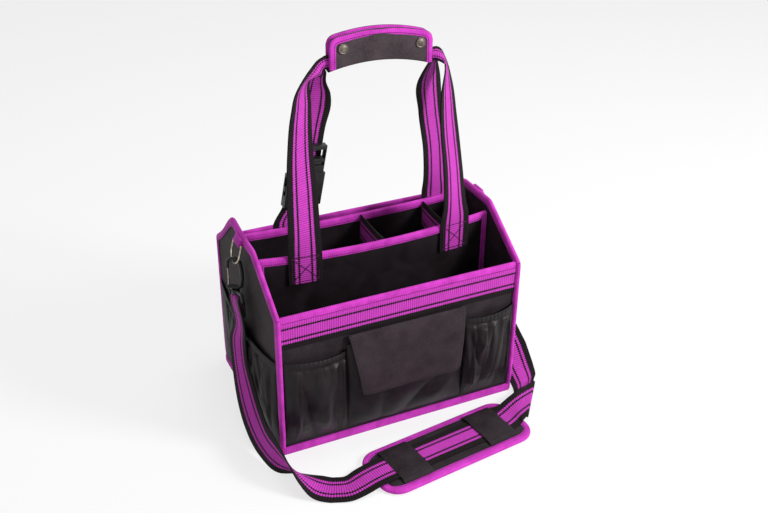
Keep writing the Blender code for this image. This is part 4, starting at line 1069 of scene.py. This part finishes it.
def buildBackLeftLeg():
    base, across, up, out = buckleAxes()
    half = webbing["width"] / 2
    x = -handle["spacing"] / 2 + 0.010
    footY, turn = sewnFoot(x, False)
    back = -out * strapBack
    slope = math.radians(turn)
    upright = at(math.cos(slope), math.sin(slope), 0.0) * half
    stations = [(at(x, footY, handleBase - handle["sewn"]), upright),
                (at(x, footY, handleBase - 0.006), upright),
                (at(x, footY, handleBase), upright),
                (base - up * 0.002 + back, across * half), (base + up * 0.005 + back, across * half)]
    body = ("tote", "handle", at(0, 0, handleBase), at(0, 0, 0.305))
    finishStrap(ribbon(strapRun(stations)), "backLeftLeg", body, "back_left_leg")


def wrapFace(u, t, near, far, sign, corner=0.012):
    # Padded face of the grip between its bottom fold and its top edge, with rounded top corners.
    inner = handle["wrapLength"] / 2
    x = handle["wrapShift"] + (2 * u - 1) * inner
    line = wrapLine(x)
    foot = line - handle["wrapHeight"] / 2 + handle["fold"]
    reach = inner - abs(x - handle["wrapShift"])
    drop = corner - math.sqrt(max(corner ** 2 - max(corner - reach, 0.0) ** 2, 0.0))
    top = line + handle["wrapHeight"] / 2 - drop * 0.8
    z = foot + (top - foot) * t
    swell = humpOf(u, 0.35) * math.sin(math.pi * (0.08 + 0.84 * t)) ** 0.5
    y = near + (far - near) * (0.62 + 0.46 * swell)
    return at(x, y + sign * waver(x, sign, z, 0.03, 0.0005), z)


def buildWrap():
    gap = handle["cavity"] / 2
    cloth = handle["cloth"]
    length = handle["wrapLength"]
    for name, body, sign, node in (("gripFront", "wrap_front", -1, "wrap_flap"),
                                   ("gripBack", "handle", 1, "wrap_back")):
        near, far = sign * gap, sign * (gap + cloth)
        outside = clothGrid(60, 18, lambda u, t: wrapFace(u if sign < 0 else 1 - u, t, near, far, sign),
                            lambda u, t: (u * length, t * 0.043), thick=cloth * 0.55)
        finishPiece(outside, name, body, paintedLitGripCloth, [node])
        spots = [(0.0, k / 10) for k in range(11)] + [(k / 60, 1.0) for k in range(1, 60)]
        spots += [(1.0, 1 - k / 10) for k in range(11)]
        path = [wrapFace(u, t, near, far, sign) for u, t in spots]
        path = [at(spot.x, sign * (gap + cloth * 0.45), spot.z) for spot in path]
        edgeTape(name + "Tape", None, path, (0, -1, 0), cloth * 0.52, body=body, width=handle["edgeTape"],
                 step=0.0025, replaced=[])

    def fold(u, t):
        # The cloth under the grip, which the straps lie in.
        x = handle["wrapShift"] + (2 * u - 1) * length / 2 * 0.999
        foot = wrapLine(x) - handle["wrapHeight"] / 2
        a = math.pi * t
        z = foot + handle["fold"] * 1.05 * (1 - math.sin(a) ** 0.8)
        return at(x, -(gap + cloth * 0.85) * math.cos(a), z)

    piece = clothGrid(60, 16, fold, lambda u, t: (u * length, t * 0.02), thick=0.0012, offset=1.0)
    finishPiece(piece, "gripFold", "handle", paintedLitGripCloth, [])


stitches = {"sideIn": 0.005, "short": 0.008, "foot": 0.004, "thread": 0.0012, "thick": 0.0005}


def boxStitch(name, foot, edge, outward, thread):
    # A box of stitches with a cross in it, on the face of a strap's sewn foot.
    across, up = edge.normalized(), at(0, 0, 1)
    wide, tall = webbing["width"] / 2 - stitches["sideIn"], handle["sewn"] - stitches["short"]
    lift = outward * (webbing["thick"] / 2 + 0.0002)
    corners = [foot + lift + across * (wide * u) + up * (stitches["foot"] + tall * v)
               for u, v in ((-1, 0), (1, 0), (1, 1), (-1, 1))]
    rows = []
    for a, b in ((0, 1), (1, 2), (2, 3), (3, 0), (0, 2), (1, 3)):
        run = corners[b] - corners[a]
        side = outward.cross(run).normalized() * (stitches["thread"] / 2)
        line = [(corners[a] + run * (k / 12), side) for k in range(13)]
        rows.append(ribbon(line, thick=stitches["thick"], columns=2, fullWidth=stitches["thread"]))
    finishPiece(joined(rows), name, "tote", thread)


def buildStitches():
    thread = sewingThread()
    for name, side, front in (("frontLeft", -1, True), ("frontRight", 1, True), ("backRight", 1, False)):
        foot, edge = legStations(side, front)[0]
        outward = at(edge.y, -edge.x, 0.0).normalized() * (1 if front else -1)
        boxStitch(name + "Stitches", foot, edge, outward, thread)


buildHandleStraps()
buildBackLeftLeg()
buildStitches()
buildWrap()
say("handle")


# Shoulder strap

gear = {
    "ringY": 0.005, "ringZ": 0.288, "wire": 0.0016, "ringWidth": 0.036, "ringDrop": 0.031,
    "ringCorner": 0.004, "tilt": 15.0, "hookTurn": 52.0, "hookWire": 0.0030, "hookReach": 0.010,
    "hookHeight": 0.047, "gateGap": 0.0010, "gateWire": 0.00085, "gateApart": 0.0013,
    "eyeWire": 0.0024, "eyeDrop": 0.0105, "eyeLean": 16.0, "collarHeight": 0.0065,
}
pad = {"length": 0.264, "width": 0.098, "corner": 0.030, "rise": 0.0084, "ahead": 0.083,
       "shift": 0.035, "turn": 7.4, "keeper": 0.050, "keeperSpacing": 0.152, "keeperPlay": 0.006,
       "foldSlant": 23.3, "foldCrease": 51.5, "foldReach": 0.074, "rimTop": 0.0052, "crown": 0.022,
       "sole": 0.0004, "soleCurl": 0.0022, "soleReach": 0.012, "tapeMiddle": 0.0039,
       "tapeHalf": 0.0036, "tapeWidth": 0.0115, "keeperThick": 0.0012}


def gearPlaces(side):
    # Where the ring, hook and eye of one end lie.
    tilt, turn = math.radians(gear["tilt"]), math.radians(gear["hookTurn"])
    gap = tote["gap"]
    barX = tote["halfWidth"] + 2 * gap + gear["wire"] + webbing["thick"]
    axis = at(side * (barX + gear["ringDrop"] * math.sin(tilt)), gear["ringY"], 0.0)
    bowZ = gear["ringZ"] - gear["ringDrop"] * math.cos(tilt) + gear["wire"] + gear["hookWire"] + 2 * gap
    foot = bowZ - gear["hookHeight"]
    eyeTop = foot - gear["hookWire"] - gap - gear["collarHeight"] + gear["eyeWire"]
    return {"side": side, "barX": barX, "axis": axis, "bowZ": bowZ, "foot": foot, "tilt": tilt,
            "across": at(-side * math.sin(turn), -math.cos(turn), 0.0),
            "lean": Matrix.Rotation(-math.radians(gear["eyeLean"]), 4, "X"),
            "centre": axis + at(0.0, 0.0, eyeTop), "bar": at(0.0, 0.0, -gear["eyeDrop"])}


def strapLoop(places, hang=0.026):
    side, bar = places["side"], places["bar"]
    radius = gear["eyeWire"] + tote["gap"] + webbing["thick"] / 2
    half = at(0.0, -webbing["width"] / 2, 0.0)
    stations = [(bar + at(-side * radius * 0.45, 0.0, -hang), half),
                (bar + at(-side * radius, 0.0, -0.008), half)]
    for k in range(7):
        a = math.pi * k / 6
        stations.append((bar + at(-side * radius * math.cos(a), 0.0, radius * math.sin(a)), half))
    stations.append((bar + at(side * radius, 0.0, -0.008), half))
    stations.append((bar + at(side * radius * 0.45, 0.0, -hang), half))
    lean, centre = places["lean"], places["centre"]
    return [(centre + lean @ middle, lean @ edge) for middle, edge in stations]


padTurn = math.radians(pad["turn"])
padAlong = at(math.cos(padTurn), math.sin(padTurn), 0.0)
padMiddle = at(pad["shift"], -tote["halfDepth"] - pad["ahead"], 0.0)


def rowsFrom(x, y, *rows):
    # Stations measured from a corner of the tote, each with the direction to one edge of the strap.
    half = webbing["width"] / 2
    return [(at(x + dx, y + dy, z), Vector(edge) * half) for dx, dy, z, edge in rows]


def buildShoulderStrap(leftPlaces, rightPlaces):
    half = webbing["width"] / 2
    side = at(math.sin(padTurn), -math.cos(padTurn), 0.0) * half
    level = pad["rise"] + tote["gap"] + webbing["thick"] / 2
    left, front = -tote["halfWidth"], -tote["halfDepth"]
    flat = webbing["thick"] / 2 + tote["gap"]
    loops = [strapLoop(leftPlaces), strapLoop(rightPlaces)]
    for loop, (name, _) in zip(loops, ends):
        finishStrap(ribbon(strapRun(loop, 4)), name + "StrapEnd", name + "_ring_set", name + "_strap_end")
    top, topEdge = loops[0][-1]
    drop = leftPlaces["lean"] @ at(0.0, 0.0, -1.0)
    fall = [(top + drop * tote["gap"], topEdge), (top + drop * 0.012, topEdge)]
    fall += rowsFrom(left, 0.0, (-0.0150, 0.002, 0.122, (0.20, -0.95, 0.22)),
                     (-0.0165, -0.006, 0.088, (0.24, -0.85, 0.47)),
                     (-0.0205, -0.038, 0.060, (0.40, -0.46, 0.79)),
                     (-0.0240, -0.085, 0.038, (0.42, -0.14, 0.90)))
    ground = rowsFrom(left, front, (-0.0235, 0.011, 0.0285, (0.28, 0.0, 0.96)),
                      (-0.0165, -0.029, 0.0262, (0.05, 0.0, 1.0)),
                      (-0.0045, -0.054, 0.0225, (-0.38, -0.45, 0.81)),
                      (0.0075, -0.071, 0.0125, (-0.58, -0.68, 0.44)),
                      (0.0205, -0.083, 0.0040, (-0.62, -0.78, 0.08)),
                      (0.0385, -0.095, flat, (-0.44, -0.90, 0.0)),
                      (0.0600, -0.1035, flat + 0.0018, (-0.18, -0.98, 0.0)))
    steps = 10
    whole = strapRun(fall + ground, steps)
    cut = steps * (len(fall) - 1)
    lead = padMiddle - padAlong * (pad["length"] / 2 + 0.016)
    exitPoint = padMiddle + padAlong * (pad["keeperSpacing"] / 2 + pad["keeper"] / 2 + tote["gap"])
    up = at(0.0, 0.0, level)
    # The strap leaves the pad at a slant, over its rim, and folds flat beyond it.
    slant = math.radians(pad["foldSlant"])
    away = at(math.cos(slant), math.sin(slant), 0.0)
    across = at(away.y, -away.x, 0.0) * half
    over = [(lead + up * 0.72, side), (lead + padAlong * 0.009 + up * 0.90, side),
            (padMiddle - padAlong * 0.05 + up, side), (padMiddle + padAlong * 0.045 + up, side),
            (exitPoint - padAlong * 0.028 + up, (side * 2 + across) / 3), (exitPoint + up, across)]
    creaseAngle = math.radians(pad["foldCrease"])
    creaseLine = at(math.cos(creaseAngle), math.sin(creaseAngle), 0.0)
    reach = half / math.sin(creaseAngle - slant)
    middle = exitPoint + away * pad["foldReach"]
    low, high = level, flat + 0.0006
    near = middle - creaseLine * reach + at(0, 0, low)
    far = middle + creaseLine * reach + at(0, 0, high)
    lift, tight = at(0, 0, 0.0042), at(0, 0, 0.0020)
    # The corner by the pad is rounded off, so the crease starts a little way in.
    rounded = near + (far - near) * 0.05
    crease, foldMid = (far - rounded) / 2, (far + rounded) / 2
    foldOut = at(creaseLine.y, -creaseLine.x, 0.0)
    midRight = near - away * 0.010 + tight * 1.2
    midLeft = far - away * 0.058 + lift + at(0, 0, 0.0062)
    bridge = [(exitPoint + away * 0.012 + up, across), ((midRight + midLeft) / 2, (midRight - midLeft) / 2),
              (foldMid + tight, -crease)]
    turnMid = [(foldMid + foldOut * 0.0013 + tight / 2, -crease)]
    after = 2 * creaseAngle - slant
    backRight = near + at(math.cos(after), math.sin(after), 0.0) * 0.045
    backRight.z = flat + 0.0078
    backLeft = far + at(0.0055, 0.0085, 0.0)
    backLeft.z = flat
    right = tote["halfWidth"]
    back = [(foldMid, -crease), ((backRight + backLeft) / 2, (backRight - backLeft) / 2)]
    back += rowsFrom(right, front, (0.0300, 0.0095, flat + 0.0018, (-1.10, -0.40, 0.07)))
    rising = rowsFrom(right, front, (0.0360, 0.035, 0.0080, (-0.99, 0.10, -0.10)),
                      (0.0385, 0.065, 0.0300, (-0.95, 0.10, -0.28)),
                      (0.0330, 0.096, 0.0680, (-0.70, -0.45, -0.55)),
                      (0.0225, 0.124, 0.1180, (-0.25, -0.93, -0.25)))
    end, endEdge = loops[1][-1]
    drop = rightPlaces["lean"] @ at(0.0, 0.0, -1.0)
    rising += [(end + drop * 0.012, endEdge), (end + drop * tote["gap"], endEdge)]
    second = strapRun([ground[-2], ground[-1]] + over + bridge, steps)
    fold = bridge[-1:] + turnMid + back[:1]
    third = strapRun(back + rising[:2], steps)
    run = whole[cut:-steps - 1] + second[:-1] + strapRun(fold, 4)[:-1] + third
    finishStrap(ribbon(run), "shoulderStrap", "tote", "shoulder_strap")
    for name, fallRun in (("left", whole[:cut + 1]), ("right", strapRun(rising[1:], steps))):
        body = ("tote", name + "_ring_set", at(0, 0, 0.06), at(0, 0, 0.150))
        finishStrap(ribbon(fallRun), name + "StrapFall", body, name + "_strap_fall")


def padPoint(x, y, z):
    side = at(-padAlong.y, padAlong.x, 0.0)
    return padMiddle + padAlong * x + side * y + at(0, 0, z)


def padReach(x, inset=0.0):
    # Half the pad's width at a place along it.
    corner = pad["corner"] - inset
    halfLength = pad["length"] / 2 - inset
    halfWidth = pad["width"] / 2 - inset
    gone = max(abs(x) - (halfLength - corner), 0.0)
    return halfWidth - corner + math.sqrt(max(corner ** 2 - gone ** 2, 0.0))


def buildPad():
    inset = rim + 0.0002
    halfLength = pad["length"] / 2 - inset

    def spread(u):
        return math.sin((2 * u - 1) * math.pi / 2) * halfLength

    def topPlace(u, t):
        x = spread(u)
        reach = padReach(x, inset)
        y = (2 * t - 1) * reach
        edge = min(halfLength - abs(x), reach - abs(y))
        rise = min(1.0, max(edge, 0.0) / pad["crown"])
        z = pad["rimTop"] + (pad["rise"] - pad["rimTop"]) * math.sin(rise * math.pi / 2) ** 0.8
        return padPoint(x, y, z + waver(x, y, 1, 0.03, 0.0003) * rise)

    def footPlace(u, t):
        x = spread(u)
        y = (1 - 2 * t) * padReach(x, inset)
        edge = min(halfLength - abs(x), padReach(x, inset) - abs(y))
        curl = 1 - min(1.0, max(edge, 0.0) / pad["soleReach"])
        return padPoint(x, y, pad["sole"] + pad["soleCurl"] * curl)

    top = clothGrid(70, 30, topPlace, lambda u, t: (u * pad["length"], t * pad["width"]))
    foot = clothGrid(70, 30, footPlace, lambda u, t: (u * pad["length"], t * pad["width"]))
    joined([top, foot])
    finishPiece(top, "shoulderPad", "pad", blackCloth, ["shoulder_pad"])
    outline = []
    corner = pad["corner"]
    for sx, sy, start in ((1, 1, 0), (-1, 1, 90), (-1, -1, 180), (1, -1, 270)):
        for k in range(13):
            a = math.radians(start + 90 * k / 12)
            outline.append(padPoint(sx * (pad["length"] / 2 - corner) + corner * math.cos(a),
                                    sy * (pad["width"] / 2 - corner) + corner * math.sin(a),
                                    pad["tapeMiddle"]))
    edgeTape("padTape", "pad_binding", outline, (0, 0, 1), pad["tapeHalf"], body="pad", closed=True,
             step=0.003, width=pad["tapeWidth"], turned=-1.0)
    span = webbing["width"] / 2 + pad["keeperPlay"]
    over = pad["rise"] + 2 * tote["gap"] + webbing["thick"] + 0.0008
    base = pad["rise"] + 0.0007
    reach = pad["width"] / 2 - tote["tape"] - tote["gap"]
    half = [(0.003, over), (-0.001, over - 0.0006), (-0.005, base), (span - reach, base - 0.0004)]
    line = [(inner - span, z) for inner, z in reversed(half)] + [(0.0, over + 0.0004)]
    line += [(span - inner, z) for inner, z in half]
    for name, sign in ends:
        centre = sign * pad["keeperSpacing"] / 2
        stations = [(padPoint(centre, y, z), padAlong * (pad["keeper"] / 2)) for y, z in line]
        piece = ribbon(strapRun(stations, 6), thick=pad["keeperThick"])
        finishPiece(piece, name + "Keeper", "pad", blackCloth, [name + "_keeper"])


leftPlaces, rightPlaces = gearPlaces(-1), gearPlaces(1)
buildShoulderStrap(leftPlaces, rightPlaces)
buildPad()
say("shoulder strap")


# Fittings

def tubeAlong(path, radii, sides=14, closed=False):
    # A round bar along a path, whose radii may change along it.
    count = len(path)
    last = count if closed else count - 1
    frames = []
    guide = None
    for i, point in enumerate(path):
        if closed:
            run = path[(i + 1) % count] - path[i - 1]
        else:
            run = path[min(i + 1, count - 1)] - path[max(i - 1, 0)]
        run = run.normalized()
        guide = guide or run.orthogonal().normalized()
        guide = (guide - run * guide.dot(run)).normalized()
        frames.append((point, guide, run.cross(guide)))

    def place(u, t):
        i = round(t * last) % count
        point, first, second = frames[i]
        radius = radii[i] if isinstance(radii, list) else radii
        a = 2 * math.pi * (1 - u)
        return point + first * (radius * math.cos(a)) + second * (radius * math.sin(a))

    piece = clothGrid(sides, last, place, lambda u, t: (u * 0.01, t * 0.1))
    cleanMesh(piece, 0.00001, capped=not closed)
    smoothByAngle(piece, 45)
    return piece


def sharpened(node, name, body, material, bevel, segments=3):
    # A rigid frame node copied, merged and given rounded edges.
    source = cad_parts[node]
    piece = bpy.data.objects.new(name, source.data.copy())
    bpy.context.scene.collection.objects.link(piece)
    cleanMesh(piece, 0.00001, flattened=True)
    addModifier(piece, "BEVEL", width=bevel, segments=segments, limit_method="ANGLE", angle_limit=0.6)
    smoothByAngle(piece, 35)
    return finishPiece(piece, name, body, material, [node])


def buildGear(name, places):
    side = places["side"]
    sets, hookBody, gateBody = name + "_ring_set", name + "_snap_hook", name + "_gate"
    tilt, barX = places["tilt"], places["barX"]
    halfRing = gear["ringWidth"] / 2 - gear["wire"]
    corner = gear["ringCorner"]
    path = []
    for cy, cz, radius, start, end, count in ((halfRing - corner, -corner, corner, 90, 0, 6),
                                              (0.0, -(gear["ringDrop"] - halfRing), halfRing, 0, -180, 36),
                                              (-halfRing + corner, -corner, corner, 180, 90, 6)):
        for k in range(count + 1):
            a = math.radians(start + (end - start) * k / count)
            y, z = cy + radius * math.cos(a), cz + radius * math.sin(a)
            path.append(at(side * (barX - z * math.sin(tilt)), gear["ringY"] + y,
                                gear["ringZ"] + z * math.cos(tilt)))
    ring = tubeAlong(path, gear["wire"], closed=True)
    finishPiece(ring, name + "Ring", sets, nickel, [name + "_ring"])
    axis, across, foot, bowZ = places["axis"], places["across"], places["foot"], places["bowZ"]
    reach = gear["hookReach"]
    shape = [(-reach * 0.1, foot), (reach * 0.5, foot), (reach * 0.88, foot + 0.002), (reach, foot + 0.007),
             (reach, bowZ - reach)]
    for k in range(1, 9):
        a = math.radians(180 * k / 8)
        shape.append((reach * math.cos(a), bowZ - reach + reach * math.sin(a)))
    nose = bowZ - reach - 0.006
    shape.append((-reach, nose))
    points = [axis + across * u + at(0, 0, z) for u, z in shape]
    spans = [(b - a).length for a, b in zip(points, points[1:])]
    smooth = splineThrough(points, spans, 5)
    radii = []
    for i in range(len(smooth)):
        share = i / (len(smooth) - 1)
        point = 0.30 * max(0.0, share - 0.85) / 0.15
        radii.append(gear["hookWire"] * (0.94 + 0.06 * math.sin(math.pi * share) - point))
    hook = tubeAlong(smooth, radii, sides=18)
    finishPiece(hook, name + "Hook", hookBody, lacquer, [name + "_hook"])
    normal = across.cross(at(0, 0, 1))
    low = axis + at(0, 0, foot - gear["hookWire"])
    size = (reach + 0.003 + reach * 0.7, 2 * 0.0038, gear["hookWire"] * 1.7)
    middle = low + across * ((reach * 0.7 - reach - 0.003) / 2) + at(0, 0, size[2] / 2)
    deselect()
    bpy.ops.mesh.primitive_cube_add(size=1.0, location=(0, 0, 0))
    foundation = bpy.context.active_object
    for vertex in foundation.data.vertices:
        x, y, z = vertex.co
        vertex.co = middle + across * (x * size[0]) + normal * (y * size[1]) + at(0, 0, z * size[2])
    cleanMesh(foundation)
    addModifier(foundation, "BEVEL", width=0.0022, segments=4, limit_method="NONE")
    smoothByAngle(foundation, 40)
    finishPiece(foundation, name + "HookFoot", hookBody, lacquer)
    gateTop = nose - tote["gap"]
    gateFoot = foot + gear["hookWire"] * 0.7 + gear["gateGap"]
    wires = []
    for sign in (-1, 1):
        line = []
        for j in range(13):
            t = j / 12
            squeeze = 1 - 0.35 * t ** 3
            line.append(axis + across * (-reach + 0.0006 * math.sin(math.pi * t))
                        + normal * (sign * gear["gateApart"] * squeeze)
                        + at(0, 0, gateFoot + 0.0002 + (gateTop - gateFoot - 0.0004) * t))
        wires.append(tubeAlong(line, gear["gateWire"], sides=10))
    finishPiece(joined(wires), name + "GateWires", gateBody, nickel, [name + "_hook_gate"])
    sharpened(name + "_swivel_eye", name + "SwivelEye", sets, lacquer, 0.0006, 2)
    sharpened(name + "_ring_tab", name + "RingTab", "tote", magenta, 0.0004, 2)


# The domed cap of a snap: radii and heights from its rim to its middle.
snap = {"in": 0.020, "above": 0.0050,
        "profile": [(0.0072, 0.0), (0.0073, 0.0007), (0.0069, 0.0013), (0.0060, 0.0014), (0.0056, 0.0011),
                    (0.0050, 0.0012), (0.0040, 0.0019), (0.0022, 0.0023), (0.0, 0.0024)]}


def buildSnaps():
    face = -(handle["cavity"] / 2 + handle["cloth"] + tote["gap"])
    profile = snap["profile"]
    for name, side in ends:
        x = handle["wrapShift"] + side * (handle["wrapLength"] / 2 - snap["in"])
        z = wrapLine(x) + snap["above"]

        def place(u, t):
            position = t * (len(profile) - 1)
            k = min(int(position), len(profile) - 2)
            radius, height = (a + (b - a) * (position - k) for a, b in zip(profile[k], profile[k + 1]))
            a = 2 * math.pi * u
            return at(x + radius * math.cos(a), face - height, z + radius * math.sin(a))

        cap = clothGrid(40, 24, place, lambda u, t: (u, t))
        cleanMesh(cap)
        smoothByAngle(cap, 60)
        finishPiece(cap, name + "SnapCap", "wrap_front", capNickel, [name + "_snap_cap"])
        dressNode(name + "_snap_stud", nickel)


def buildBuckle():
    for node, name, body, bevel in (("buckle_socket", "buckleSocket", "handle", 0.0011),
                                    ("buckle_plug", "bucklePlug", "buckle_male", 0.0012),
                                    ("left_buckle_prong", "buckleProngLeft", "left_prong", 0.0009),
                                    ("right_buckle_prong", "buckleProngRight", "right_prong", 0.0009)):
        sharpened(node, name, body, acetal, bevel)


buildGear("left", leftPlaces)
buildGear("right", rightPlaces)
buildSnaps()
buildBuckle()
say("fittings")


# Floor, light and camera

studio = {
    "camera": (-0.5716, -1.2649, 1.0219), "azimuth": -25.485, "elevation": 29.992, "roll": 0.596,
    "focal": 1051.9, "imageWidth": 768.0, "sensor": 36.0, "floorSize": 14.0, "floorShown": 0.72,
    "air": 0.30, "aim": (0.0, -0.05, 0.22),
    "softboxes": (("keySoftbox", (1.8, -1.8, 1.6), 0.7, 78.0),
                  ("fillSoftbox", (-1.0, -2.2, 1.6), 1.2, 5.0),
                  ("topSoftbox", (0.3, 0.2, 2.6), 1.2, 24.0)),
}


def pureFor(tree, lit, shown, share=1.0):
    # Mixes in a colour that only the camera, mirrors and glass see.
    rays = addNode(tree, "LightPath").outputs
    seen = maths(tree, "MAXIMUM", rays["Is Camera Ray"], rays["Is Glossy Ray"])
    seen = maths(tree, "MAXIMUM", seen, rays["Is Transmission Ray"])
    part = maths(tree, "MULTIPLY", seen, share)
    return addNode(tree, "MixShader", None, {0: part, 1: lit, 2: shown}).outputs[0]


def buildStudio():
    deselect()
    bpy.ops.mesh.primitive_plane_add(size=studio["floorSize"], location=(0, 0, -0.0004))
    floor = bpy.context.active_object
    floor.name = "floor"
    # Painted studio floor: pale, matt, shown a little whiter than it is lit.
    material, tree, shader = newMaterial("paleFloor", 0.9)
    shader.inputs["Base Color"].default_value = hexColour("#F4F3F4")
    white = {"Color": hexColour("#FFFFFF"), "Strength": 1.0}
    mix = pureFor(tree, shader.outputs[0], addNode(tree, "Emission", white).outputs[0], studio["floorShown"])
    tree.links.new(mix, tree.nodes["Material Output"].inputs["Surface"])
    floor.data.materials.append(material)
    world = bpy.data.worlds.new("studioAir")
    bpy.context.scene.world = world
    world.use_nodes = True
    tree = world.node_tree
    lit = addNode(tree, "Background", {**white, "Strength": studio["air"]})
    mix = pureFor(tree, lit.outputs[0], addNode(tree, "Background", white).outputs[0])
    tree.links.new(mix, tree.nodes["World Output"].inputs["Surface"])
    for name, spot, size, power in studio["softboxes"]:
        data = bpy.data.lights.new(name, "AREA")
        data.size = size
        data.energy = power
        lamp = bpy.data.objects.new(name, data)
        bpy.context.scene.collection.objects.link(lamp)
        lamp.location = spot
        aim = Vector(studio["aim"]) - Vector(spot)
        lamp.rotation_euler = aim.to_track_quat("-Z", "Y").to_euler()


def buildCamera():
    a, e, r = (math.radians(studio[key]) for key in ("azimuth", "elevation", "roll"))
    back = at(math.sin(a) * math.cos(e), -math.cos(a) * math.cos(e), math.sin(e))
    right = at(math.cos(a), math.sin(a), 0.0)
    up = back.cross(right)
    rolledRight = right * math.cos(r) + up * math.sin(r)
    rolledUp = up * math.cos(r) - right * math.sin(r)
    data = bpy.data.cameras.new("camera")
    data.sensor_width = studio["sensor"]
    data.lens = studio["focal"] * studio["sensor"] / studio["imageWidth"]
    camera = bpy.data.objects.new("camera", data)
    bpy.context.scene.collection.objects.link(camera)
    camera.location = studio["camera"]
    camera.rotation_mode = "QUATERNION"
    camera.rotation_quaternion = Matrix((rolledRight, rolledUp, back)).transposed().to_quaternion()
    bpy.context.scene.camera = camera


buildStudio()
buildCamera()
bpy.context.scene.view_settings.view_transform = "Standard"
say("studio")
